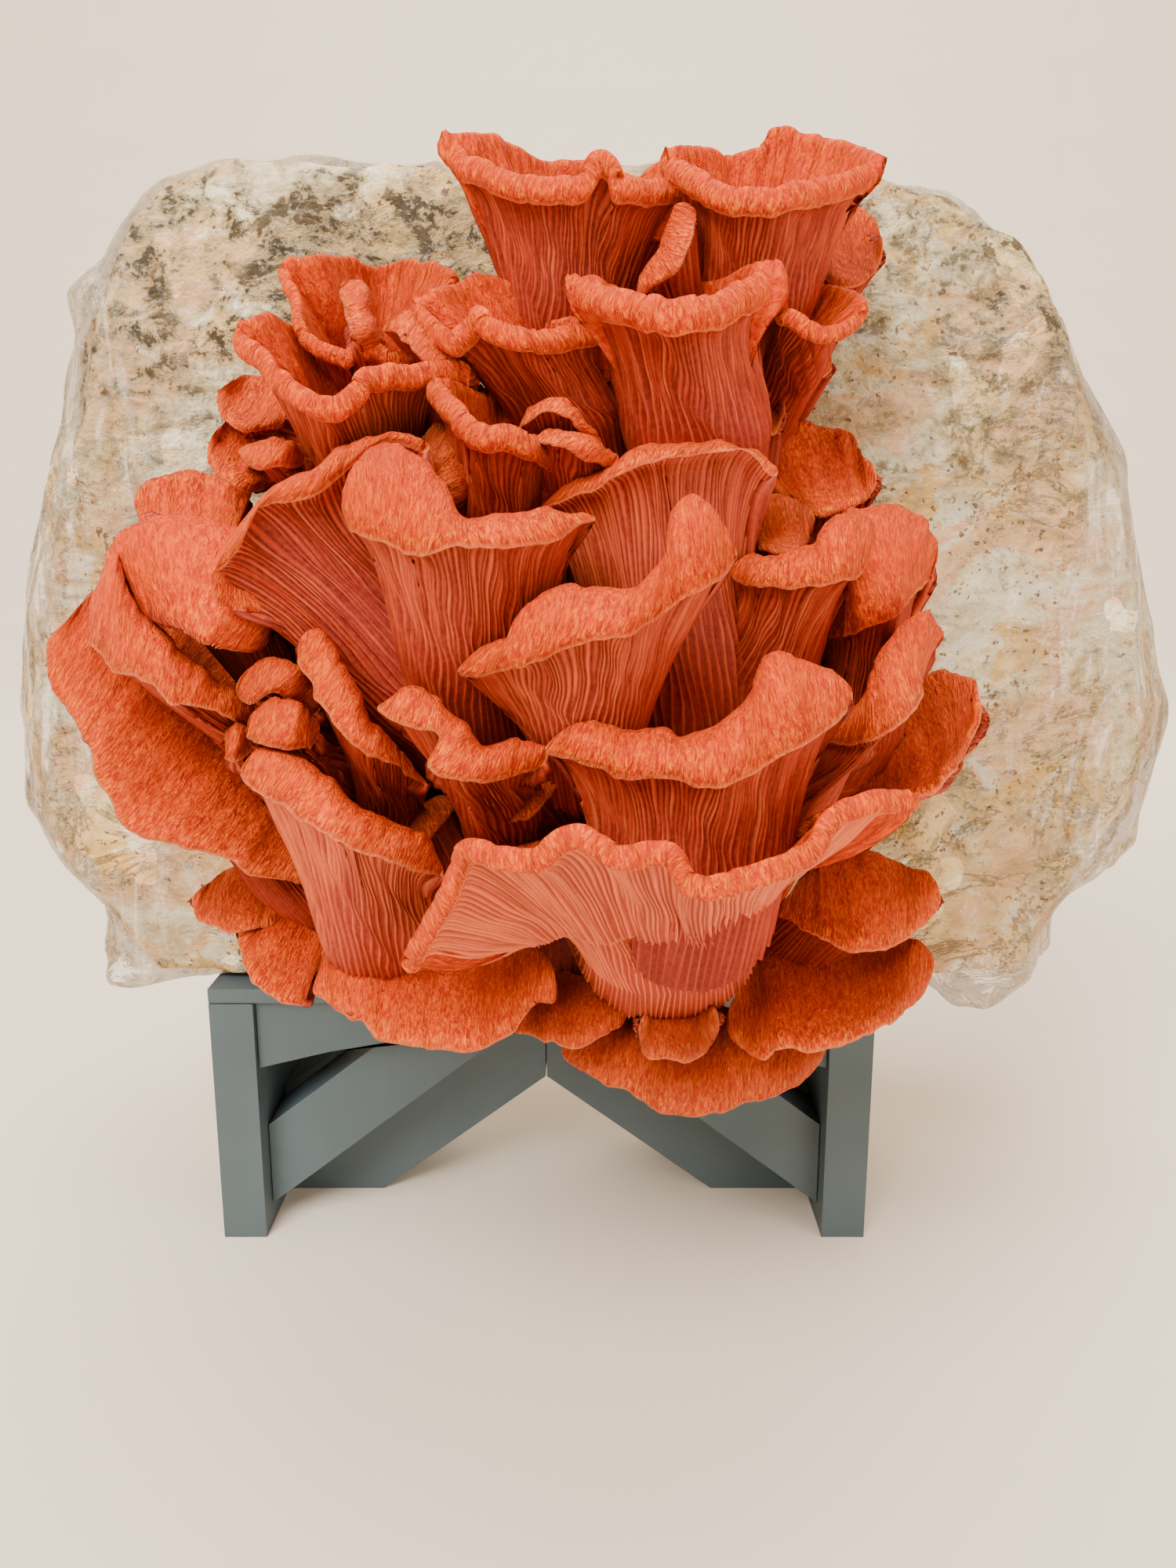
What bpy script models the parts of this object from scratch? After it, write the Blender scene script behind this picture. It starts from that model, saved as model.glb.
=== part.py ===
"""Oyster mushroom grow block: a cluster of coral-pink oyster mushrooms that has grown out of the
front of a bagged block of mycelium, which rests on a small open stand.

Lengths are millimetres until each mesh is written in metres. X is to the right, Y to the back and
Z up. The block's front plane is Y = 0 and the stand's feet are at Z = 0 while the pieces are made;
the last step moves everything so that the origin is at the middle of the bottom of the whole.

A cap's rim is drawn as it is seen from one fixed eye in front of the block, the way a botanist
draws a cluster: each point is (right, down) on a drawing of 1500 by 2000, and a distance that
says how far the point stands out in front of the block.
"""

import math
from collections import namedtuple

import bmesh
import bpy
import numpy as np
from mathutils import Vector, noise

MM = 0.001
GAP = 0.35

# The eye and the drawing that the rims are given on
DRAWING_CENTRE = (750.0, 1000.0)
DRAWING_FOCAL = 1500.0
EYE_HEIGHT = 196.0
EYE_DISTANCE = 300.0
EYE_TILT = math.radians(12.0)

# The stand
STAND_LEFT = -103.5
STAND_RIGHT = 78.5
STAND_DEPTH = 70.0
STAND_HEIGHT = 75.0
STAND_SETBACK = 1.0
LEG_THICKNESS = 12.0
PLATE_THICKNESS = 4.0
APRON_THICKNESS = 5.0
APRON_RECESS = 2.0
APRON_DROP_AT_LEG = 24.0
APRON_DROP_AT_MIDDLE = 13.0
APRON_ARCH_STEPS = 8
BRACE_SLOPE = 0.77
BRACE_HEIGHT = 24.5
BRACE_APEX_UNDERSIDE = 67.0
BRACE_DEPTH = 18.0
RIB_APEX_UNDERSIDE = 37.0
RIB_SLOPE = 0.74

# The block and its film: height, reach to the left, reach to the right
BLOCK_LEVELS = (
    (0.0, 136.0, 140.0),
    (14.0, 139.0, 142.0),
    (28.0, 150.0, 152.0),
    (46.0, 159.0, 158.0),
    (74.0, 161.0, 163.0),
    (105.0, 156.0, 154.0),
    (140.0, 147.0, 144.0),
    (168.0, 136.0, 127.0),
    (188.0, 125.0, 111.0),
    (199.0, 115.0, 98.0),
    (205.0, 100.0, 79.0),
)
BLOCK_DEPTH = 125.0
BLOCK_CORNER_POWER = 7.0
BLOCK_AROUND = 24
BLOCK_LUMP = 1.0
BLOCK_LUMP_SPAN = 45.0
BLOCK_SHOULDER = 6.0
BLOCK_SHOULDER_POWER = 4
FILM_THICKNESS = 0.8
FILM_OPENING_HALF = (66.0, 78.0)
FILM_OPENING_SIDES = 20
FILM_OPENING_REACH = 30.0

# The mass at the foot of the cluster, in front of the block
BASE_MIDDLE = (-3.0, -4.0, 150.0)
BASE_HALF = (62.0, 30.0, 72.0)
BASE_LUMP = 4.0
BASE_LUMPS_ACROSS = 2.2

# A mushroom's flesh at the rim and in the throat, and the most it takes of the room in a fold
FLESH = 2.6
FLESH_AT_THROAT = 5.0
FLESH_SHARE = 0.3
STEM_RINGS = 4
CAP_PLACES = (0.0, 0.25, 0.5, 0.75, 1.0)
SKIN_PLACES = (0.86, 0.68, 0.5, 0.32, 0.14)
FOOT_SWELL = 1.15
FOOT_DEPTH = 0.8
STEM_BEND = 0.35
STEM_LEAST = 2.5
CURVE_STEP = 0.05
CURVE_POINTS = 12
SEGMENT = 5.0
SEGMENTS_LEAST = 12
SEGMENTS_MOST = 48

# A mushroom's folds are melted into one sound skin on a lattice this fine, which is then thinned
# to this many triangles for each millimetre of its rim
LATTICE = 1.5
TRIANGLES_PER_RIM = 0.5
TRIANGLES_LEAST = 70
TRIANGLES_MOST = 150

# The cap between its knee and its rim: how far each end keeps its own direction, how much the
# knee spreads, how steeply the wall drops from the rim, how much the rim leans out, and how
# much the cap's axis leans to the way its mouth faces
KNEE_REACH = 0.3
KNEE_SPREAD = 0.12
RIM_REACH = 0.5
RIM_DROP = 1.1
RIM_LEAN = 0.7
STEM_STOUT = 1.4
MOUTH_LEAN = 0.6
RING_START = np.array([0.0, 1.0, 0.2])
CAP_DEPTH_LEAST = 4.0
CAP_DEPTH_SHARE = 0.2
LIP_INWARD = 0.85
LIP_BACKWARD = 0.6

# Rim points closer together than this along the rim are neighbours, not two sides of a fold
FOLD_SPAN = 18.0

# What a cut leaves behind: points closer than the first of these that keeps the surface closed
# are welded, and bends under this are flattened
WELDS = (0.02, 0.01, 0.005, 0.002, 0.0005)
FLAT_BEND = math.radians(0.1)
SWELL_ROUNDS = 20
SWELL_LIMIT = 3.0

Mushroom = namedtuple("Mushroom", "near far out knee stem lip")

# near: the rim's edge nearest the eye, left to right; far: the rim behind it, right to left
# out: how far the rim stands out at its near middle, its sides and its far middle
# knee: where the stem meets the cap, as (right, down, out); stem: its radius; lip: the rolled edge
MUSHROOMS = {
    "mushroom_top_left": Mushroom(
        near=[(566, 202), (580, 222), (600, 238), (650, 256), (720, 263), (750, 257), (762, 226),
              (778, 230), (784, 258), (810, 265), (850, 262), (886, 250)],
        far=[(888, 236), (868, 214), (840, 212), (815, 224), (792, 211), (745, 201), (700, 198),
             (640, 181), (590, 188)],
        out=(60, 46, 28), knee=(722, 425, 36), stem=8.0, lip=4.0),
    "mushroom_top_right": Mushroom(
        near=[(848, 226), (868, 246), (892, 262), (940, 275), (1000, 273), (1050, 266),
              (1090, 254), (1116, 236)],
        far=[(1118, 220), (1098, 196), (1050, 173), (1003, 152), (978, 155), (962, 180),
             (925, 192), (880, 196), (856, 206)],
        out=(64, 48, 30), knee=(955, 400, 38), stem=9.0, lip=4.0),
    "mushroom_top_flap": Mushroom(
        near=[(814, 384), (840, 364), (868, 340), (882, 300), (887, 266)],
        far=[(866, 262), (860, 300), (846, 330), (822, 358)],
        out=(62, 56, 46), knee=(870, 420, 42), stem=4.0, lip=2.0),
    "mushroom_top_back": Mushroom(
        near=[(1040, 345), (1070, 364), (1098, 360), (1118, 338)],
        far=[(1128, 308), (1110, 284), (1084, 267), (1056, 262), (1040, 300)],
        out=(34, 26, 16), knee=(1020, 420, 16), stem=5.0, lip=2.0),
    "mushroom_right_small": Mushroom(
        near=[(982, 388), (995, 417), (1030, 434), (1068, 437), (1090, 420)],
        far=[(1100, 394), (1088, 368), (1050, 349), (1015, 344), (990, 360)],
        out=(66, 54, 40), knee=(1000, 480, 38), stem=5.0, lip=3.0),
    "mushroom_right_bud": Mushroom(
        near=[(1012, 478), (1036, 482), (1057, 476)],
        far=[(1060, 458), (1050, 436), (1030, 436)],
        out=(34, 28, 20), knee=(1000, 520, 16), stem=4.0, lip=1.5),
    "mushroom_upper_centre": Mushroom(
        near=[(733, 390), (748, 404), (800, 415), (860, 425), (910, 422), (955, 405), (984, 376)],
        far=[(975, 356), (935, 350), (880, 362), (800, 370), (750, 374)],
        out=(82, 64, 46), knee=(893, 575, 52), stem=10.0, lip=5.0),
    "mushroom_middle_left": Mushroom(
        near=[(538, 412), (552, 432), (580, 451), (602, 438), (616, 420), (626, 441), (665, 456),
              (720, 448), (784, 434)],
        far=[(782, 420), (740, 404), (690, 400), (655, 368), (622, 345), (598, 350), (572, 367),
             (548, 390)],
        out=(74, 58, 44), knee=(735, 540, 46), stem=8.0, lip=4.0),
    "mushroom_upper_left": Mushroom(
        near=[(362, 358), (372, 395), (388, 432), (412, 460), (442, 476), (462, 462), (480, 460),
              (500, 468), (540, 452), (572, 400)],
        far=[(580, 356), (556, 338), (520, 328), (475, 331), (440, 327), (400, 332)],
        out=(58, 44, 24), knee=(480, 520, 30), stem=7.0, lip=3.0),
    "mushroom_fold_strip": Mushroom(
        near=[(488, 420), (505, 433), (535, 453), (570, 476), (604, 494)],
        far=[(612, 486), (592, 456), (560, 430), (535, 405), (506, 405)],
        out=(68, 60, 48), knee=(610, 540, 42), stem=4.0, lip=2.0),
    "mushroom_left_cap": Mushroom(
        near=[(310, 445), (320, 468), (345, 492), (385, 522), (428, 538), (462, 522), (480, 504),
              (540, 498), (592, 490)],
        far=[(582, 478), (530, 470), (470, 468), (425, 468), (395, 445), (372, 418), (345, 408),
             (322, 420)],
        out=(78, 62, 46), knee=(475, 610, 44), stem=8.0, lip=4.0),
    "mushroom_left_lobe_upper": Mushroom(
        near=[(276, 510), (285, 536), (310, 549), (355, 548)],
        far=[(364, 525), (350, 496), (320, 485), (290, 489)],
        out=(48, 40, 30), knee=(390, 560, 30), stem=5.0, lip=2.5),
    "mushroom_left_lobe_lower": Mushroom(
        near=[(266, 575), (278, 602), (305, 624), (345, 618)],
        far=[(372, 590), (350, 548), (300, 541), (274, 552)],
        out=(56, 46, 34), knee=(400, 600, 32), stem=5.0, lip=2.5),
    "mushroom_left_lobe_curl": Mushroom(
        near=[(304, 578), (325, 597), (355, 600), (388, 592)],
        far=[(386, 575), (362, 564), (335, 560), (314, 566)],
        out=(66, 56, 46), knee=(420, 640, 42), stem=4.0, lip=2.5),
    "mushroom_folded": Mushroom(
        near=[(550, 512), (558, 530), (578, 552), (620, 572), (675, 588), (717, 614)],
        far=[(712, 590), (668, 562), (656, 532), (652, 498), (627, 480), (610, 500), (585, 500),
             (562, 499)],
        out=(86, 70, 52), knee=(645, 690, 56), stem=7.0, lip=4.0),
    "mushroom_brown_tube": Mushroom(
        near=[(537, 572), (550, 596), (568, 622), (590, 650)],
        far=[(612, 642), (600, 602), (586, 566), (562, 543), (545, 550)],
        out=(74, 66, 54), knee=(630, 700, 52), stem=4.0, lip=2.0),
    "mushroom_crescent_back": Mushroom(
        near=[(660, 560), (668, 542), (690, 528), (715, 537), (755, 560)],
        far=[(768, 564), (745, 538), (715, 511), (685, 513), (664, 535)],
        out=(80, 72, 60), knee=(725, 615, 56), stem=5.0, lip=2.5),
    "mushroom_crescent_front": Mushroom(
        near=[(668, 570), (690, 566), (718, 568), (748, 586), (777, 596)],
        far=[(790, 584), (762, 561), (715, 549), (680, 555)],
        out=(86, 78, 66), knee=(735, 650, 62), stem=5.0, lip=2.5),
    "mushroom_big_fan": Mushroom(
        near=[(372, 772), (330, 787), (282, 776), (268, 742), (290, 712), (312, 690), (318, 668),
              (345, 650), (400, 630), (446, 596), (490, 566), (540, 578)],
        far=[(545, 566), (505, 551), (455, 562), (400, 597), (345, 622), (305, 660), (292, 705),
             (300, 735), (345, 748)],
        out=(88, 76, 58), knee=(570, 890, 62), stem=11.0, lip=4.0),
    "mushroom_curled": Mushroom(
        near=[(437, 648), (448, 680), (490, 697), (560, 703), (640, 700), (700, 690), (735, 672),
              (760, 664)],
        far=[(745, 654), (700, 650), (640, 655), (590, 652), (560, 608), (535, 583), (505, 567),
             (470, 573), (448, 598), (437, 625)],
        out=(106, 90, 66), knee=(600, 860, 76), stem=9.0, lip=4.5),
    "mushroom_central_fan": Mushroom(
        near=[(688, 652), (720, 638), (770, 616), (820, 595), (870, 578), (935, 578), (965, 590),
              (986, 608)],
        far=[(992, 598), (965, 577), (920, 561), (870, 561), (820, 573), (770, 596), (720, 618)],
        out=(88, 74, 56), knee=(865, 930, 62), stem=11.0, lip=3.0),
    "mushroom_small_back": Mushroom(
        near=[(948, 556), (972, 563), (994, 545)],
        far=[(1001, 518), (984, 511), (958, 524)],
        out=(50, 44, 36), knee=(960, 610, 34), stem=4.0, lip=1.5),
    "mushroom_right_upper": Mushroom(
        near=[(1010, 648), (1045, 660), (1085, 650), (1112, 630)],
        far=[(1117, 600), (1090, 576), (1072, 552), (1030, 546), (990, 549), (968, 575),
             (975, 615)],
        out=(52, 40, 20), knee=(1010, 720, 28), stem=7.0, lip=3.0),
    "mushroom_small_dark": Mushroom(
        near=[(963, 700), (990, 712), (1015, 703), (1034, 680)],
        far=[(1037, 660), (1015, 645), (985, 637), (964, 655), (960, 680)],
        out=(76, 68, 58), knee=(980, 770, 54), stem=5.0, lip=2.5),
    "mushroom_right_middle": Mushroom(
        near=[(930, 738), (965, 745), (1040, 745), (1080, 740), (1112, 715)],
        far=[(1118, 685), (1108, 662), (1078, 652), (1050, 665), (1030, 698), (985, 706),
             (945, 712)],
        out=(88, 74, 54), knee=(957, 880, 62), stem=8.0, lip=4.5),
    "mushroom_right_cap": Mushroom(
        near=[(1034, 792), (1055, 816), (1104, 801), (1150, 778), (1185, 742)],
        far=[(1195, 700), (1180, 664), (1145, 644), (1105, 643), (1075, 660), (1085, 700),
             (1055, 745)],
        out=(74, 54, 28), knee=(1085, 930, 44), stem=8.0, lip=4.0),
    "mushroom_tongue": Mushroom(
        near=[(1045, 937), (1080, 947), (1122, 944), (1155, 920), (1176, 885), (1184, 842)],
        far=[(1204, 812), (1192, 788), (1168, 781), (1142, 806), (1118, 840), (1100, 890),
             (1066, 908)],
        out=(94, 76, 46), knee=(965, 1075, 64), stem=8.0, lip=4.5),
    "mushroom_right_lower": Mushroom(
        near=[(1098, 1014), (1130, 1023), (1180, 1015), (1215, 985), (1240, 950)],
        far=[(1253, 900), (1238, 870), (1185, 862), (1165, 905), (1128, 955), (1100, 980)],
        out=(66, 48, 22), knee=(1075, 1045, 36), stem=7.0, lip=3.5),
    "mushroom_scroll": Mushroom(
        near=[(583, 858), (620, 862), (670, 845), (720, 829), (790, 815), (840, 792), (868, 765),
              (915, 744), (940, 712)],
        far=[(932, 690), (912, 652), (885, 633), (858, 652), (843, 705), (808, 746), (745, 745),
             (690, 758), (655, 785), (650, 808), (610, 828)],
        out=(110, 94, 78), knee=(748, 930, 84), stem=8.0, lip=4.5),
    "mushroom_near_crown": Mushroom(
        near=[(697, 962), (760, 978), (820, 997), (880, 1001), (940, 997), (1000, 965),
              (1050, 940), (1083, 900)],
        far=[(1084, 872), (1050, 848), (1005, 831), (975, 838), (950, 890), (900, 930),
             (830, 932), (760, 918), (715, 935)],
        out=(114, 98, 74), knee=(885, 1125, 86), stem=12.0, lip=5.0),
    "mushroom_great_lower": Mushroom(
        near=[(530, 1240), (548, 1208), (575, 1168), (600, 1106), (640, 1107), (685, 1116),
              (730, 1086), (770, 1094), (800, 1105), (855, 1110), (885, 1145), (930, 1150),
              (1000, 1120), (1045, 1095), (1075, 1052), (1120, 1040), (1164, 1036)],
        far=[(1150, 1022), (1095, 1020), (1040, 1036), (985, 1085), (890, 1118), (840, 1080),
             (760, 1060), (670, 1072), (610, 1084), (580, 1130), (545, 1190), (525, 1228)],
        out=(122, 98, 84), knee=(850, 1175, 70), stem=14.0, lip=4.0),
    "mushroom_lower_small": Mushroom(
        near=[(992, 1166), (1025, 1186), (1055, 1199), (1090, 1217), (1135, 1212), (1170, 1186),
              (1196, 1158)],
        far=[(1198, 1132), (1176, 1114), (1140, 1106), (1095, 1092), (1050, 1100), (1010, 1140)],
        out=(76, 58, 38), knee=(1010, 1215, 46), stem=6.0, lip=3.0),
    "mushroom_bottom_right": Mushroom(
        near=[(930, 1312), (948, 1342), (975, 1350), (998, 1336), (1040, 1341), (1100, 1327),
              (1150, 1300), (1182, 1258)],
        far=[(1190, 1225), (1170, 1201), (1110, 1196), (1040, 1196), (985, 1205), (955, 1245),
             (932, 1285)],
        out=(86, 66, 44), knee=(1010, 1240, 44), stem=8.0, lip=3.0),
    "mushroom_bottom_lobe": Mushroom(
        near=[(817, 1318), (830, 1350), (865, 1357), (900, 1344), (916, 1318)],
        far=[(912, 1288), (880, 1274), (840, 1278), (820, 1295)],
        out=(84, 74, 60), knee=(868, 1290, 50), stem=5.0, lip=2.5),
    "mushroom_bottom_centre": Mushroom(
        near=[(718, 1335), (745, 1368), (800, 1396), (870, 1421), (935, 1416), (1000, 1395),
              (1040, 1360)],
        far=[(1050, 1330), (990, 1300), (900, 1290), (800, 1296), (740, 1315)],
        out=(76, 60, 44), knee=(880, 1330, 38), stem=8.0, lip=3.0),
    "mushroom_bottom_inner": Mushroom(
        near=[(652, 1312), (690, 1329), (735, 1334), (768, 1322), (795, 1306)],
        far=[(800, 1275), (770, 1250), (720, 1245), (680, 1262), (658, 1288)],
        out=(78, 68, 54), knee=(735, 1290, 48), stem=6.0, lip=2.5),
    "mushroom_bottom_left": Mushroom(
        near=[(400, 1262), (415, 1281), (445, 1297), (470, 1307), (485, 1326), (520, 1338),
              (570, 1341), (615, 1334), (655, 1311), (684, 1280), (708, 1278)],
        far=[(706, 1240), (680, 1210), (620, 1200), (560, 1196), (500, 1184), (450, 1183),
             (416, 1205), (410, 1235)],
        out=(94, 74, 50), knee=(570, 1260, 48), stem=9.0, lip=3.0),
    "mushroom_left_lower": Mushroom(
        near=[(303, 1195), (310, 1235), (332, 1257), (362, 1281), (388, 1278), (400, 1245)],
        far=[(420, 1215), (425, 1165), (405, 1145), (350, 1170), (315, 1182)],
        out=(72, 60, 42), knee=(390, 1210, 36), stem=6.0, lip=2.5),
    "mushroom_left_small": Mushroom(
        near=[(245, 1152), (262, 1178), (300, 1190), (345, 1182), (388, 1158)],
        far=[(398, 1130), (350, 1122), (305, 1111), (270, 1124), (250, 1138)],
        out=(62, 50, 36), knee=(370, 1160, 32), stem=5.0, lip=2.5),
    "mushroom_left_big": Mushroom(
        near=[(62, 820), (68, 880), (100, 930), (130, 1000), (160, 1058), (235, 1077),
              (310, 1110), (360, 1123), (420, 1131)],
        far=[(430, 1104), (405, 1045), (360, 965), (318, 882), (255, 802), (185, 752),
             (120, 758), (85, 792)],
        out=(80, 58, 26), knee=(455, 1100, 50), stem=9.0, lip=4.0),
    "mushroom_left_ribbon": Mushroom(
        near=[(113, 800), (122, 832), (150, 860), (190, 872), (225, 895), (275, 912),
              (318, 923)],
        far=[(324, 900), (290, 870), (240, 840), (200, 800), (170, 755), (155, 700), (132, 722),
             (116, 765)],
        out=(86, 70, 46), knee=(380, 960, 52), stem=6.0, lip=4.0),
    "mushroom_left_curled": Mushroom(
        near=[(165, 745), (180, 770), (205, 796), (238, 811), (262, 826), (322, 827),
              (356, 798)],
        far=[(350, 770), (300, 730), (290, 670), (300, 622), (255, 606), (215, 612), (178, 638),
             (200, 672), (178, 712)],
        out=(84, 62, 36), knee=(370, 860, 48), stem=7.0, lip=4.0),
    "mushroom_diagonal": Mushroom(
        near=[(308, 988), (335, 1018), (385, 1042), (432, 1073), (470, 1097), (515, 1104),
              (560, 1117)],
        far=[(563, 1098), (545, 1072), (500, 1048), (465, 1028), (430, 1003), (385, 962),
             (340, 953), (318, 965)],
        out=(104, 88, 70), knee=(478, 1190, 72), stem=8.0, lip=4.5),
    "mushroom_lump_upper": Mushroom(
        near=[(297, 885), (320, 894), (352, 888), (398, 912)],
        far=[(408, 895), (388, 858), (350, 839), (318, 850)],
        out=(86, 78, 66), knee=(425, 950, 62), stem=5.0, lip=3.0),
    "mushroom_lump_middle": Mushroom(
        near=[(312, 938), (332, 950), (370, 960), (402, 948)],
        far=[(406, 922), (385, 900), (350, 890), (325, 908)],
        out=(94, 86, 74), knee=(430, 985, 66), stem=5.0, lip=3.0),
    "mushroom_narrow": Mushroom(
        near=[(381, 830), (392, 880), (420, 908), (442, 940), (485, 967), (545, 1003)],
        far=[(530, 980), (490, 930), (455, 880), (430, 832), (405, 802), (386, 808)],
        out=(98, 84, 68), knee=(500, 1040, 62), stem=5.0, lip=4.0),
    "mushroom_centre_curled": Mushroom(
        near=[(481, 906), (510, 927), (553, 939), (545, 975), (580, 993), (640, 998),
              (690, 978)],
        far=[(698, 955), (660, 944), (615, 946), (585, 915), (555, 888), (520, 879), (495, 892)],
        out=(110, 98, 84), knee=(640, 1035, 76), stem=6.0, lip=4.0),
    "mushroom_leaf": Mushroom(
        near=[(610, 1057), (645, 1052), (680, 1036), (708, 1006), (731, 977)],
        far=[(722, 965), (675, 975), (625, 1005), (608, 1035)],
        out=(90, 82, 72), knee=(720, 1060, 64), stem=4.0, lip=2.0),
    "mushroom_bud": Mushroom(
        near=[(524, 1062), (548, 1072), (572, 1048), (582, 1024)],
        far=[(560, 1020), (532, 1042)],
        out=(74, 68, 62), knee=(590, 1100, 58), stem=3.5, lip=2.0),
}


def clear_scene():
    """Remove whatever the scene holds."""
    for thing in list(bpy.data.objects):
        bpy.data.objects.remove(thing)


def unit(vector):
    """The vector at length one, also for a row of vectors."""
    length = np.linalg.norm(vector, axis=-1, keepdims=True)
    return vector / np.maximum(length, 1e-9)


def sight(right, down, out):
    """The point seen at (right, down) on the drawing that stands `out` in front of the block."""
    across = (right - DRAWING_CENTRE[0]) / DRAWING_FOCAL
    up = (DRAWING_CENTRE[1] - down) / DRAWING_FOCAL
    forward = math.cos(EYE_TILT) + up * math.sin(EYE_TILT)
    reach = (EYE_DISTANCE - out) / forward
    rise = up * math.cos(EYE_TILT) - math.sin(EYE_TILT)
    return np.array([across * reach, -out, EYE_HEIGHT + rise * reach])


def path_fractions(points):
    """How far along the path each point is, from 0 to 1."""
    steps = np.linalg.norm(np.diff(points, axis=0), axis=1)
    along = np.concatenate([[0.0], np.cumsum(steps)])
    return along / along[-1]


def rim_points(mushroom):
    """The rim's drawn points in space: along the near edge, then back along the far edge."""
    near_out, side_out, far_out = mushroom.out
    points = []
    for drawn, middle_out in ((mushroom.near, near_out), (mushroom.far, far_out)):
        for (right, down), along in zip(drawn, path_fractions(np.array(drawn, float))):
            out = side_out + (middle_out - side_out) * math.sin(math.pi * along)
            points.append(sight(right, down, out))
    return np.array(points)


def closed_curve(points):
    """A smooth closed curve through the points."""
    curve = []
    count = len(points)
    for index in range(count):
        before, start, end, after = (points[(index + shift) % count] for shift in (-1, 0, 1, 2))
        for step in range(CURVE_POINTS):
            t = step / CURVE_POINTS
            curve.append(0.5 * (2 * start + (end - before) * t
                                + (2 * before - 5 * start + 4 * end - after) * t ** 2
                                + (3 * start - before - 3 * end + after) * t ** 3))
    return np.array(curve)


def even_loop(curve, count):
    """The closed curve read at `count` evenly spaced places."""
    closed = np.vstack([curve, curve[:1]])
    along = path_fractions(closed)
    places = np.arange(count) / count
    return np.stack([np.interp(places, along, closed[:, axis]) for axis in range(3)], axis=1)


def loop_length(curve):
    """The closed curve's length."""
    return float(np.linalg.norm(np.roll(curve, -1, axis=0) - curve, axis=1).sum())


def bezier(first, second, third, fourth, t):
    """A point of the cubic curve with these four poles."""
    s = 1.0 - t
    return s ** 3 * first + 3 * s * s * t * second + 3 * s * t * t * third + t ** 3 * fourth


def cap_frame(mushroom, rim):
    """The knee and the cap's axis there."""
    middle = rim.mean(axis=0)
    area = np.cross(rim - middle, np.roll(rim, -1, axis=0) - middle).sum(axis=0)
    mouth = unit(area)
    knee = sight(*mushroom.knee)
    size = math.sqrt(np.linalg.norm(area) / (2 * math.pi))
    least = CAP_DEPTH_SHARE * size + CAP_DEPTH_LEAST
    depth = float(np.dot(middle - knee, mouth))
    if depth < least:
        knee = knee - mouth * (least - depth)
    return knee, unit(unit(middle - knee) + mouth * MOUTH_LEAN)


def ring(middle, axis, radius, rim):
    """A ring about the axis whose points face the rim's points, one for each."""
    side = unit(np.cross(axis, RING_START))
    other = np.cross(axis, side)
    angles = 2 * math.pi * np.arange(len(rim)) / len(rim)
    spread = rim - rim.mean(axis=0)
    seen = spread @ side + 1j * (spread @ other)
    angles = angles + np.angle((seen * np.exp(-1j * angles)).sum())
    return middle + radius * (np.outer(np.cos(angles), side) + np.outer(np.sin(angles), other))


def foot_place(knee):
    """Where a stem to this knee starts, a little inside the base."""
    middle = np.array(BASE_MIDDLE)
    half = np.array(BASE_HALF)
    way = (knee - middle) / half
    way = way / max(np.linalg.norm(way), 1.0)
    return middle + way * half * FOOT_DEPTH


def stem_rings(mushroom, knee, axis, rim, count):
    """Rings along the stem from the base up to the knee."""
    foot = foot_place(knee)
    length = np.linalg.norm(knee - foot)
    if length < STEM_LEAST * mushroom.stem:
        length = STEM_LEAST * mushroom.stem
        foot = knee - unit(unit(knee - foot) + 2 * axis) * length
    poles = (foot, foot + (knee - foot) * STEM_BEND, knee - axis * length * STEM_BEND, knee)
    rings = []
    for step in range(count):
        t = step / count
        middle = bezier(*poles, t)
        heading = unit(bezier(*poles, t + CURVE_STEP) - middle)
        radius = mushroom.stem * STEM_STOUT * (FOOT_SWELL + (1.0 - FOOT_SWELL) * t)
        rings.append(ring(middle, heading, radius, rim))
    return rings


def cap_ring(mushroom, knee, axis, rim, t):
    """A ring of the gilled side, from the knee (t = 0) out to the rim (t = 1)."""
    start = ring(knee, axis, mushroom.stem * STEM_STOUT, rim)
    reach = np.linalg.norm(rim - start, axis=1)[:, None]
    height = ((rim - knee) @ axis)[:, None]
    flare = unit(rim - (knee + axis * height * RIM_LEAN))
    second = start + (axis * KNEE_REACH + flare * KNEE_SPREAD) * reach
    third = rim - unit(flare + axis * RIM_DROP) * reach * RIM_REACH
    return bezier(start, second, third, rim, t)


def room_across(points):
    """For each point of a ring, how far it is from the part of the ring that faces it."""
    count = len(points)
    spacing = loop_length(points) / count
    steps = np.abs(np.arange(count)[:, None] - np.arange(count)[None, :])
    steps = np.minimum(steps, count - steps)
    gaps = np.linalg.norm(points[:, None, :] - points[None, :, :], axis=2)
    neighbours = steps * spacing < min(FOLD_SPAN, spacing * (count // 2 - 1))
    gaps[neighbours] = np.inf
    return gaps.min(axis=1)[:, None]


def inner_ring(mushroom, knee, axis, rim, t, inward, backward):
    """The ring at t moved in through the flesh, and back from the rim, by these lengths."""
    before = cap_ring(mushroom, knee, axis, rim, t - CURVE_STEP)
    here = cap_ring(mushroom, knee, axis, rim, t)
    around = np.roll(here, -1, axis=0) - np.roll(here, 1, axis=0)
    way_in = -unit(np.cross(around, here - before))
    way_back = unit(before - here)
    share = np.minimum(1.0, FLESH_SHARE * room_across(here) / inward)
    return here + (way_in * inward + way_back * backward) * share


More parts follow.
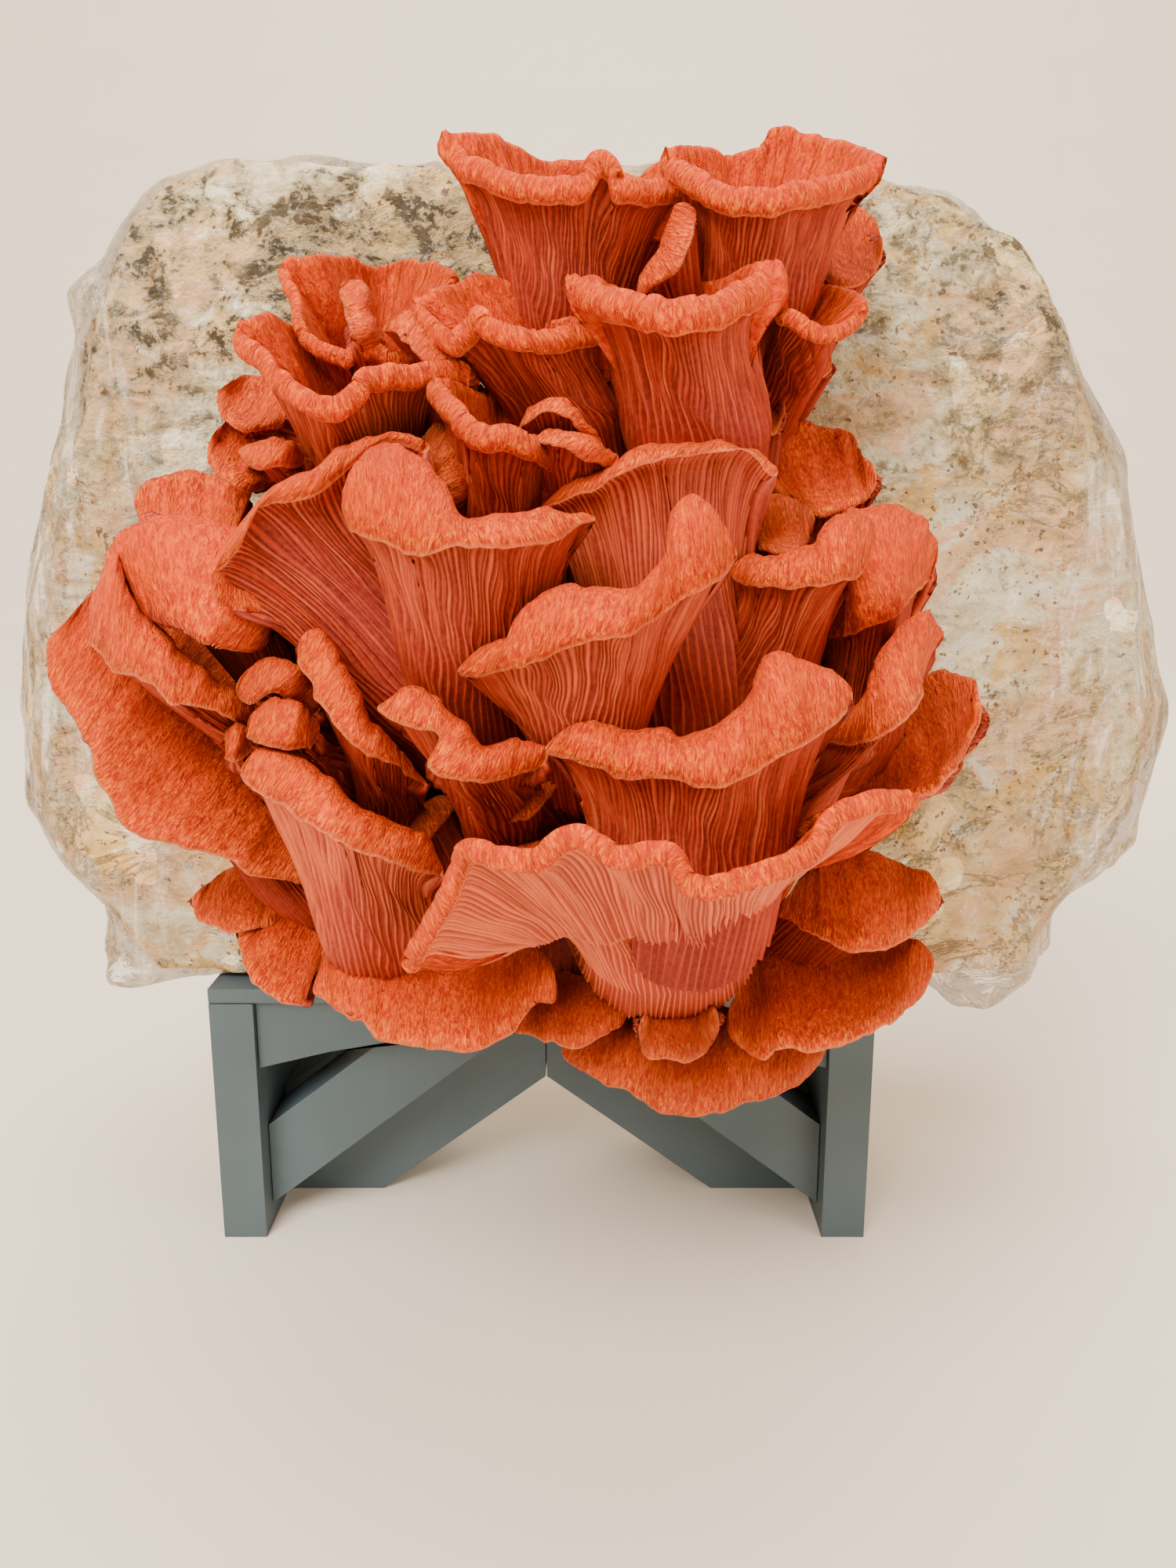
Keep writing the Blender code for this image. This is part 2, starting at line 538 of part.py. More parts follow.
def mushroom_rings(mushroom):
    """A mushroom's rings from its foot over the rim and down into its throat."""
    curve = closed_curve(rim_points(mushroom))
    around = int(np.clip(loop_length(curve) / SEGMENT, SEGMENTS_LEAST, SEGMENTS_MOST))
    rim = even_loop(curve, around)
    knee, axis = cap_frame(mushroom, rim)
    cap = (mushroom, knee, axis, rim)
    rings = stem_rings(mushroom, knee, axis, rim, STEM_RINGS)
    rings += [cap_ring(*cap, t) for t in CAP_PLACES]
    rings.append(inner_ring(*cap, 1.0, LIP_INWARD * mushroom.lip, LIP_BACKWARD * mushroom.lip))
    for t in SKIN_PLACES:
        rings.append(inner_ring(*cap, t, FLESH * t + FLESH_AT_THROAT * (1 - t), 0.0))
    return rings


def material(name, colour, roughness):
    """A plain Principled material."""
    made = bpy.data.materials.new(name)
    made.use_nodes = True
    shader = made.node_tree.nodes["Principled BSDF"]
    shader.inputs["Base Color"].default_value = (*colour, 1.0)
    shader.inputs["Roughness"].default_value = roughness
    made.diffuse_color = (*colour, 1.0)
    return made


def place(name, build, look):
    """Make the object from a bmesh whose lengths are millimetres."""
    bmesh.ops.recalc_face_normals(build, faces=build.faces)
    bmesh.ops.scale(build, vec=(MM, MM, MM), verts=build.verts)
    mesh = bpy.data.meshes.new(name)
    build.to_mesh(mesh)
    build.free()
    made = bpy.data.objects.new(name, mesh)
    bpy.context.scene.collection.objects.link(made)
    made.data.materials.append(look)
    return made


def ring_solid(name, rings, look):
    """A closed solid through the rings."""
    build = bmesh.new()
    rows = [[build.verts.new(point) for point in one] for one in rings]
    count = len(rows[0])
    for lower, upper in zip(rows, rows[1:]):
        for index in range(count):
            after = (index + 1) % count
            build.faces.new((lower[index], lower[after], upper[after], upper[index]))
    build.faces.new(list(reversed(rows[0])))
    build.faces.new(rows[-1])
    bmesh.ops.triangulate(build, faces=build.faces)
    return place(name, build, look)


def evaluated_mesh(thing):
    """A new mesh of the object as its modifiers leave it."""
    graph = bpy.context.evaluated_depsgraph_get()
    return bpy.data.meshes.new_from_object(thing.evaluated_get(graph))


def keep_largest_body(build):
    """Drop every loose island of faces but the largest."""
    islands = []
    waiting = set(build.faces)
    while waiting:
        island = [waiting.pop()]
        for face in island:
            for edge in face.edges:
                if len(edge.link_faces) != 2:
                    continue
                for other in edge.link_faces:
                    if other in waiting:
                        waiting.remove(other)
                        island.append(other)
        islands.append(island)
    islands.sort(key=lambda faces: sum(face.calc_area() for face in faces), reverse=True)
    spare = [face for faces in islands[1:] for face in faces]
    bmesh.ops.delete(build, geom=spare, context="FACES")


def welded(mesh, weld):
    """The mesh's largest body in triangles, with its slivers welded and flattened."""
    build = bmesh.new()
    build.from_mesh(mesh)
    keep_largest_body(build)
    bmesh.ops.remove_doubles(build, verts=build.verts, dist=weld * MM)
    bmesh.ops.dissolve_degenerate(build, edges=build.edges, dist=weld * MM)
    bmesh.ops.dissolve_limit(build, angle_limit=FLAT_BEND, verts=build.verts, edges=build.edges)
    bmesh.ops.triangulate(build, faces=build.faces)
    bmesh.ops.remove_doubles(build, verts=build.verts, dist=weld * MM)
    keep_largest_body(build)
    return build


def tidy_cut(mesh):
    """Clear the mesh of what a cut leaves, as one closed body of triangles."""
    for weld in WELDS:
        build = welded(mesh, weld)
        closed = all(edge.is_manifold for edge in build.edges)
        if closed:
            build.to_mesh(mesh)
        build.free()
        if closed:
            return


def outward_move(vert, gap):
    """The move that takes the point out beyond each of its faces by the gap, if there is one."""
    move = Vector()
    for _ in range(SWELL_ROUNDS):
        for face in vert.link_faces:
            move += face.normal * max(gap - move.dot(face.normal), 0.0)
    if min(move.dot(face.normal) for face in vert.link_faces) < 0.0:
        return Vector()
    if move.length > SWELL_LIMIT * gap:
        move = move.normalized() * SWELL_LIMIT * gap
    return move


def swollen_copy(thing, gap):
    """A cutter: the object grown by the gap on every side."""
    build = bmesh.new()
    build.from_mesh(thing.data)
    bmesh.ops.triangulate(build, faces=build.faces)
    build.normal_update()
    moves = [outward_move(vert, gap * MM) for vert in build.verts]
    for vert, move in zip(build.verts, moves):
        vert.co += move
    mesh = bpy.data.meshes.new(thing.name + "_cutter")
    build.to_mesh(mesh)
    build.free()
    made = bpy.data.objects.new(mesh.name, mesh)
    bpy.context.scene.collection.objects.link(made)
    made.hide_render = True
    made.display_type = "WIRE"
    return made


def box_of(thing):
    """The object's lowest and highest corner."""
    corners = np.array([thing.matrix_world @ vert.co for vert in thing.data.vertices])
    return corners.min(axis=0), corners.max(axis=0)


def boxes_meet(one, other):
    """Whether two boxes share any space."""
    return bool((one[0] < other[1]).all() and (other[0] < one[1]).all())


def subtract(thing, cutters):
    """Cut the cutters out of the object and keep its largest body."""
    for cutter in cutters:
        cut = thing.modifiers.new(cutter.name, "BOOLEAN")
        cut.operation = "DIFFERENCE"
        cut.solver = "EXACT"
        cut.use_self = True
        cut.object = cutter
    mesh = evaluated_mesh(thing)
    thing.modifiers.clear()
    tidy_cut(mesh)
    thing.data = mesh


def clear_overlaps(fixed, pieces):
    """Trim each piece by the fixed ones and by those before it, so that all meet with a gap."""
    cutters = [swollen_copy(piece, GAP) for piece in fixed]
    for piece in pieces:
        mine = box_of(piece)
        touching = [cutter for cutter in cutters if boxes_meet(mine, box_of(cutter))]
        cutters.append(swollen_copy(piece, GAP))
        if touching:
            subtract(piece, touching)
    for cutter in cutters:
        bpy.data.objects.remove(cutter)


def block_ring(level, grow):
    """One level of the block: a rounded rectangle with soft corners, grown by `grow`."""
    height, left, right = level
    points = []
    half_depth = BLOCK_DEPTH / 2 + grow
    from_middle = abs(2 * height / BLOCK_LEVELS[-1][0] - 1)
    fade = BLOCK_SHOULDER * from_middle ** BLOCK_SHOULDER_POWER
    for step in range(BLOCK_AROUND):
        angle = 2 * math.pi * step / BLOCK_AROUND
        across = math.cos(angle)
        along = math.sin(angle)
        size = (abs(across) ** BLOCK_CORNER_POWER + abs(along) ** BLOCK_CORNER_POWER)
        size **= -1.0 / BLOCK_CORNER_POWER
        reach = (right if across > 0 else left) + grow
        points.append([across * size * reach,
                       BLOCK_DEPTH / 2 + along * size * (half_depth - fade), height])
    return points


def block_rings(grow):
    """The block's levels with its lumps, grown by `grow`."""
    bottom = STAND_HEIGHT + FILM_THICKNESS + 2 * GAP
    rings = []
    for number, level in enumerate(BLOCK_LEVELS):
        points = np.array(block_ring(level, grow))
        lump = np.array([noise.noise(Vector(point) / BLOCK_LUMP_SPAN) for point in points])
        outward = unit(points - np.array([0.0, BLOCK_DEPTH / 2, points[0][2]]))
        points += outward * (lump[:, None] - 1.0) * BLOCK_LUMP
        points[:, 2] += bottom
        if number == 0:
            points[:, 2] -= grow
        if number == len(BLOCK_LEVELS) - 1:
            points[:, 2] += grow
        rings.append(points)
    return rings


def make_block(look):
    """The block of mycelium and straw."""
    return ring_solid("substrate_block", block_rings(0.0), look)


def film_cutter():
    """The hole in the film that the cluster has grown through."""
    across, height = FILM_OPENING_HALF
    rings = []
    for depth in (-FILM_OPENING_REACH, FILM_OPENING_REACH):
        angles = [2 * math.pi * step / FILM_OPENING_SIDES for step in range(FILM_OPENING_SIDES)]
        rings.append([[BASE_MIDDLE[0] + across * math.cos(angle), depth,
                       BASE_MIDDLE[2] + height * math.sin(angle)] for angle in angles])
    return rings


def make_film(look):
    """The bag's film around the block, with the hole in front for the cluster."""
    film = ring_solid("bag_film", block_rings(GAP + FILM_THICKNESS), look)
    inside = ring_solid("bag_inside", block_rings(GAP), look)
    hole = ring_solid("bag_hole", film_cutter(), look)
    for cutter in (inside, hole):
        cutter.hide_render = True
        cutter.display_type = "WIRE"
    subtract(film, [inside, hole])
    bpy.data.objects.remove(inside)
    bpy.data.objects.remove(hole)
    return film


def make_base(look):
    """The lumpy mass in front of the block that every stem grows from."""
    build = bmesh.new()
    bmesh.ops.create_icosphere(build, subdivisions=2, radius=1.0)
    for vert in build.verts:
        lump = noise.noise(vert.co * BASE_LUMPS_ACROSS) * BASE_LUMP
        spot = Vector([BASE_MIDDLE[axis] + vert.co[axis] * (BASE_HALF[axis] + lump)
                       for axis in range(3)])
        spot.y = min(spot.y, -GAP)
        vert.co = spot
    return place("cluster_base", build, look)


def melt_and_thin(thing, triangles):
    """Melt the object's folds into one sound skin, and thin it to about so many triangles."""
    melt = thing.modifiers.new("melt", "REMESH")
    melt.mode = "VOXEL"
    melt.voxel_size = LATTICE * MM
    melted = evaluated_mesh(thing)
    tidy_cut(melted)
    thing.modifiers.clear()
    thing.data = melted
    thin = thing.modifiers.new("thin", "DECIMATE")
    thin.ratio = triangles / len(melted.polygons)
    thinned = evaluated_mesh(thing)
    thing.modifiers.clear()
    thing.data = thinned


def make_mushroom(name, mushroom, look):
    """One mushroom, its stem and cap in one."""
    made = ring_solid(name, mushroom_rings(mushroom), look)
    triangles = TRIANGLES_PER_RIM * loop_length(rim_points(mushroom))
    melt_and_thin(made, np.clip(triangles, TRIANGLES_LEAST, TRIANGLES_MOST))
    return made


def prism(name, outline, first_y, last_y, look):
    """An outline in the XZ plane pulled from one depth to another."""
    rings = [[(x, y, z) for x, z in outline] for y in (first_y, last_y)]
    return ring_solid(name, rings, look)


def apron_outline():
    """An apron with an arched lower edge, between the legs and under the plate."""
    left = STAND_LEFT + LEG_THICKNESS + GAP
    right = STAND_RIGHT - LEG_THICKNESS - GAP
    top = STAND_HEIGHT - PLATE_THICKNESS - GAP
    outline = [(left, top)]
    for step in range(APRON_ARCH_STEPS + 1):
        along = step / APRON_ARCH_STEPS
        rise = (APRON_DROP_AT_LEG - APRON_DROP_AT_MIDDLE) * (1 - (2 * along - 1) ** 2)
        outline.append((left + (right - left) * along, STAND_HEIGHT - APRON_DROP_AT_LEG + rise))
    outline.append((right, top))
    return outline


def sloping_outline(side, apex, slope, height):
    """One half of an inverted V, from a leg's inner face up to the middle under the plate."""
    top = STAND_HEIGHT - PLATE_THICKNESS - GAP
    middle = (STAND_LEFT + STAND_RIGHT) / 2
    half = (STAND_RIGHT - STAND_LEFT) / 2 - LEG_THICKNESS - GAP
    inner = GAP / 2
    foot = max(apex - slope * half, 0.0)
    shape = [(half, foot), (half, apex - slope * half + height)]
    shape += [((apex + height - top) / slope, top), (inner, top), (inner, apex)]
    if foot == 0.0:
        shape.append((apex / slope, 0.0))
    return [(middle + side * across, up) for across, up in shape]


def box_outline(left, right, bottom, top):
    """A rectangle's corners."""
    return [(left, bottom), (right, bottom), (right, top), (left, top)]


def make_stand(look):
    """Two leg panels, a top plate, an arched apron and two sloping braces with their ribs."""
    front = STAND_SETBACK
    back = front + STAND_DEPTH
    under = STAND_HEIGHT - PLATE_THICKNESS
    left_leg = box_outline(STAND_LEFT, STAND_LEFT + LEG_THICKNESS, 0.0, under - GAP)
    right_leg = box_outline(STAND_RIGHT - LEG_THICKNESS, STAND_RIGHT, 0.0, under - GAP)
    plate = box_outline(STAND_LEFT, STAND_RIGHT, under, STAND_HEIGHT)
    apron = front + APRON_RECESS
    brace = apron + APRON_THICKNESS + GAP
    rib = brace + BRACE_DEPTH + GAP
    pieces = [
        prism("stand_leg_left", left_leg, front, back, look),
        prism("stand_leg_right", right_leg, front, back, look),
        prism("stand_top", plate, front, back, look),
        prism("stand_apron", apron_outline(), apron, apron + APRON_THICKNESS, look),
    ]
    rib_height = BRACE_APEX_UNDERSIDE + BRACE_HEIGHT - RIB_APEX_UNDERSIDE
    for side, name in ((-1, "left"), (1, "right")):
        outline = sloping_outline(side, BRACE_APEX_UNDERSIDE, BRACE_SLOPE, BRACE_HEIGHT)
        pieces.append(prism("stand_brace_" + name, outline, brace, brace + BRACE_DEPTH, look))
        outline = sloping_outline(side, RIB_APEX_UNDERSIDE, RIB_SLOPE, rib_height)
        pieces.append(prism("stand_rib_" + name, outline, rib, back - APRON_RECESS, look))
    return pieces


def stand_on_origin(pieces):
    """Move everything so that the origin is at the middle of the bottom of the whole."""
    boxes = [box_of(piece) for piece in pieces]
    low = np.min([box[0] for box in boxes], axis=0)
    high = np.max([box[1] for box in boxes], axis=0)
    shift = Vector((-(low[0] + high[0]) / 2, -(low[1] + high[1]) / 2, -low[2]))
    for piece in pieces:
        piece.data.transform(piece.matrix_world.Translation(shift))


def main():
    """Build every piece."""
    clear_scene()
    skin = material("cap_skin", (0.72, 0.22, 0.11), 0.62)
    mycelium = material("mycelium", (0.78, 0.70, 0.56), 0.85)
    film_look = material("clear_film", (0.85, 0.85, 0.82), 0.2)
    print_look = material("grey_print", (0.20, 0.25, 0.26), 0.55)
    stand = make_stand(print_look)
    block = make_block(mycelium)
    film = make_film(film_look)
    base = make_base(mycelium)
    front_first = sorted(MUSHROOMS.items(), key=lambda entry: -entry[1].out[0])
    mushrooms = [make_mushroom(name, mushroom, skin) for name, mushroom in front_first]
    clear_overlaps([block, film], [base] + mushrooms)
    stand_on_origin(stand + [block, film, base] + mushrooms)


main()
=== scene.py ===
"""The looks of the oyster mushroom grow block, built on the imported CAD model.

Lengths are millimetres until each mesh is written in metres. X is to the right, Y to the back and
Z up. Mushrooms are drawn as in the part's source: a rim point is (right, down) on a drawing of
1500 by 2000, seen from one fixed eye, with how far it stands out in front of the block.
"""

import math
from collections import namedtuple

import bmesh
import bpy
import numpy as np
from mathutils import Matrix, Vector, noise


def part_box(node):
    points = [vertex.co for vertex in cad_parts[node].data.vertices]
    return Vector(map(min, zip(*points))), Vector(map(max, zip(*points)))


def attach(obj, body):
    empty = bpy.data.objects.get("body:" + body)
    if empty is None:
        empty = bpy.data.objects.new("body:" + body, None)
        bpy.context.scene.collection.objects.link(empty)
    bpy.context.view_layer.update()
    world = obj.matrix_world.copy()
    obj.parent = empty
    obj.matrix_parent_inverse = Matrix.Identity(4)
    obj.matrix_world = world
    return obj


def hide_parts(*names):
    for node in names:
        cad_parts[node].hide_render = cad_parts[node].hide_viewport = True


MM = 0.001

# The eye and the drawing that the rims are given on
DRAWING_CENTRE = (750.0, 1000.0)
DRAWING_FOCAL = 1500.0
DRAWING_LONG_SIDE = 2000.0
EYE_HEIGHT = 196.0
EYE_DISTANCE = 300.0
EYE_TILT = math.radians(12.0)
SENSOR = 36.0

# Where the stand's left leg starts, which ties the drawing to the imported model
STAND_LEFT = -103.5
STAND_SETBACK = 1.0

# The mass at the foot of the cluster
BASE_MIDDLE = (-3.0, -4.0, 150.0)
BASE_HALF = (62.0, 30.0, 72.0)
BASE_FACETS = 6

# What its dressed shape adds: wider, moved, and with lumps, each kind with how many there are
# across its half width and how high they are
FOOT_SPREAD = (1.22, 0.9, 1.0)
FOOT_SHIFT = (-6.0, 2.0, 4.0)
FOOT_LUMPS = ((2.2, 4.0), (9.0, 1.6), (24.0, 0.7))

# A mushroom's stem and cap, with the names and values of the part's source: the flesh's
# thickness, the stem's swell and bend, the poles of the side's curve and the cap's least depth
FLESH = 2.6
FLESH_AT_THROAT = 5.0
FLESH_SHARE = 0.3
FOOT_SWELL = 1.15
FOOT_DEPTH = 0.8
STEM_BEND = 0.35
STEM_LEAST = 2.5
CURVE_STEP = 0.05
CURVE_POINTS = 12
KNEE_REACH = 0.3
KNEE_SPREAD = 0.12
RIM_REACH = 0.5
RIM_DROP = 1.1
RIM_LEAN = 0.7
STEM_STOUT = 1.4
MOUTH_LEAN = 0.6
RING_START = np.array([0.0, 1.0, 0.2])
CAP_DEPTH_LEAST = 4.0
CAP_DEPTH_SHARE = 0.2
FOLD_SPAN = 18.0

# Gills: one every so many millimetres of rim, each with a crest and a valley; the short ones
# start at these places between the knee (0) and the rim (1)
GILL_SPACING = 1.1
GILLS_LEAST = 24
GILL_DEPTH = 0.85
GILL_DEPTH_LEAST = 0.25
GILL_DEPTH_BY_WIDTH = 1.6
GILL_FOOT_FADE = 0.7
GILL_STARTS = {0: -0.9, 2: -0.35, 1: 0.3, 3: 0.45}
GILL_START_BLEND = 0.35
GILL_START_SHIFT = 0.15
GILL_END = 0.97
GILL_WANDER = 0.6
WANDER_TURNS = (3, 7, 12, 19)
WANDER_SLOPE = 5.0

# The gilled side is drawn in just under the rim, by so much and over this share of its height
TUCK = 2.2
TUCK_SPAN = 0.07

# A ledge starts this far up the gilled side, is reached within the span and fades out below
LEDGE_PLACE = 0.42
LEDGE_SPAN = 0.05
LEDGE_FADE = 0.5
LEDGE_HOLD = 0.2

# Rows of points along the stem and the gilled side, closer together toward the rim
STEM_ROWS = 6
CAP_ROWS = 21
ROW_CROWDING = 1.3

# A funnel's rolled lip: its thickness, bulge and rise for its size, how far it leans outward, the
# share of the room across that it may fill and how far its far side sinks to make up for it;
# then the places of the rows down the throat and where the lip's thickness starts to fade in
LIP_ROWS = 7
LIP_THICKNESS = 0.75
LIP_BULGE = 0.34
LIP_RISE = 1.05
LIP_LEAN = 0.45
LIP_ROOM = 0.5
FAR_EDGE_DROP = 1.4
THROAT_PLACES = (0.93, 0.85, 0.75, 0.63, 0.5, 0.36, 0.22, 0.1)
THROAT_JOIN = 0.6

# The skin of a dish or an arch: how full a dish's lip is, one over the share of the edge that
# its way out is averaged over, where its underside starts to follow it and how thick the flesh
# between is; how far an arch's top stands back and how far its near side bulges
SKIN_ROWS = 14
DISH_LIP = 0.7
DISH_TURN_SHARE = 6
UNDER_START = 0.1
UNDER_FULL = 0.45
UNDER_FLESH = 3.5
ARCH_TOP_SHARE = 0.45
ARCH_BULGE = 0.24

# Small waves along every rim: the highest one's height, their lengths, how fast the height falls
# with the length, and how unevenly they follow each other
RUFFLE = 0.5
RUFFLE_SPANS = (31.0, 17.0, 9.0, 5.0)
RUFFLE_FALL = 0.8
RUFFLE_TWIST = 1.5
RUFFLE_TWIST_TURN = 0.37

# Each point has three attributes for the looks. fibre: how far along the rim it is, how far in
# from it, and the mushroom's place in the noise. depth: on the gilled side how deep in a groove
# and how near the rim, which set its painted shade, on the skin how near the rim and how deep in
# the throat, which sets the throat's painted shade. tone: how brown and how pale the mushroom is.
# These are how far in "near the rim" reaches, where the throat's painted shade starts, and how
# far apart the mushrooms are in the noise and in their seeds
EDGE_REACH = 7.0
THROAT_SHADE_START = -0.9
NOISE_STEP = 37.0
SEED_STEP = 10

# The block's and the film's skin, in metres: the size of its cells, how far each stands off the
# solid, and its relief as pairs of how wide and how high the lumps are. The starts and the step
# only set which part of the noise each of them reads
BLOCK_CELL = 0.0024
BLOCK_SMOOTHING = 5
BLOCK_STAND_OFF = 0.0002
BLOCK_RELIEF = ((0.040, 0.0018), (0.014, 0.0016), (0.006, 0.0008))
FILM_STAND_OFF = 0.0014
FILM_RELIEF = ((0.036, 0.0014), (0.014, 0.0011))
CRUMPLE_SPAN = 0.008
RELIEF_STEP = 3.0
FILM_RELIEF_START = 7.0
CRUMPLE_START = 31.0

# Creases in the film: drawn out in height, with sharp tops that are cut off below
CREASE_STRETCH = (1.0, 1.0, 0.6)
CREASE_STEEPNESS = 2.5
CREASE_FLOOR = -0.4
CREASE_LEVEL = 0.4

# Loose corners of the bag: where, which way they are drawn and how wide, in millimetres
FILM_PULLS = (((110, 14, 84), (-3, -6, -15), 13), ((-124, 10, 84), (-8, -3, -6), 11),
              ((-124, 10, 252), (-5, 0, 5), 9), ((150, 20, 116), (2, -4, -6), 20))
FILM_CRUMPLED = 0.5

# Where the block bulges or sinks on top of its solid's shape, written the same way
BLOCK_PULLS = (((150, 10, 96), (-9, 0, 0), 28), ((-84, 10, 264), (-2, 0, 5), 30),
               ((-146, 10, 226), (4, 0, 0), 24), ((-160, 10, 180), (2, 0, 0), 34),
               ((-158, 10, 108), (-3, 0, 0), 24), ((116, 10, 262), (3, 0, 4), 22))

# The hole in the film's front: half its width and height in millimetres, then how far back it
# reaches, how ragged its edge is and how long the rags are, in metres
HOLE_HALF = (66.0, 78.0)
HOLE_BACK = 0.02
HOLE_RAGGED = 0.08
HOLE_RAG_SPAN = 0.012

# The floor, in metres: flat out to here, then a quarter turn up into a wall
FLOOR_REACH = 1.5
FLOOR_BEND = 1.5
FLOOR_TOP = 4.0
FLOOR_STEPS = 12
FLOOR_SIDES = 64

# Soft lamps: place, what they point at, size across and power
MIDDLE = (0.0, 0.0, 0.15)
LAMPS = {
    "wall": ((0.0, 0.9, 1.7), (0.0, 3.0, 0.9), 1.4, 64.0),
    "key": ((-0.45, -0.95, 1.05), MIDDLE, 0.85, 35.0),
    "fill": ((0.9, -0.9, 0.4), MIDDLE, 1.0, 8.0),
    "top": ((0.0, 0.1, 1.3), MIDDLE, 1.0, 13.0),
    "back": ((0.2, 1.2, 0.8), MIDDLE, 1.0, 8.0),
}
SURROUND_STRENGTH = 0.9

Mushroom = namedtuple("Mushroom", "near far out knee stem lip form crown brown curl ledge pale",
                      defaults=(0.0, 0.0, 0.0, 0.0, 0.15))

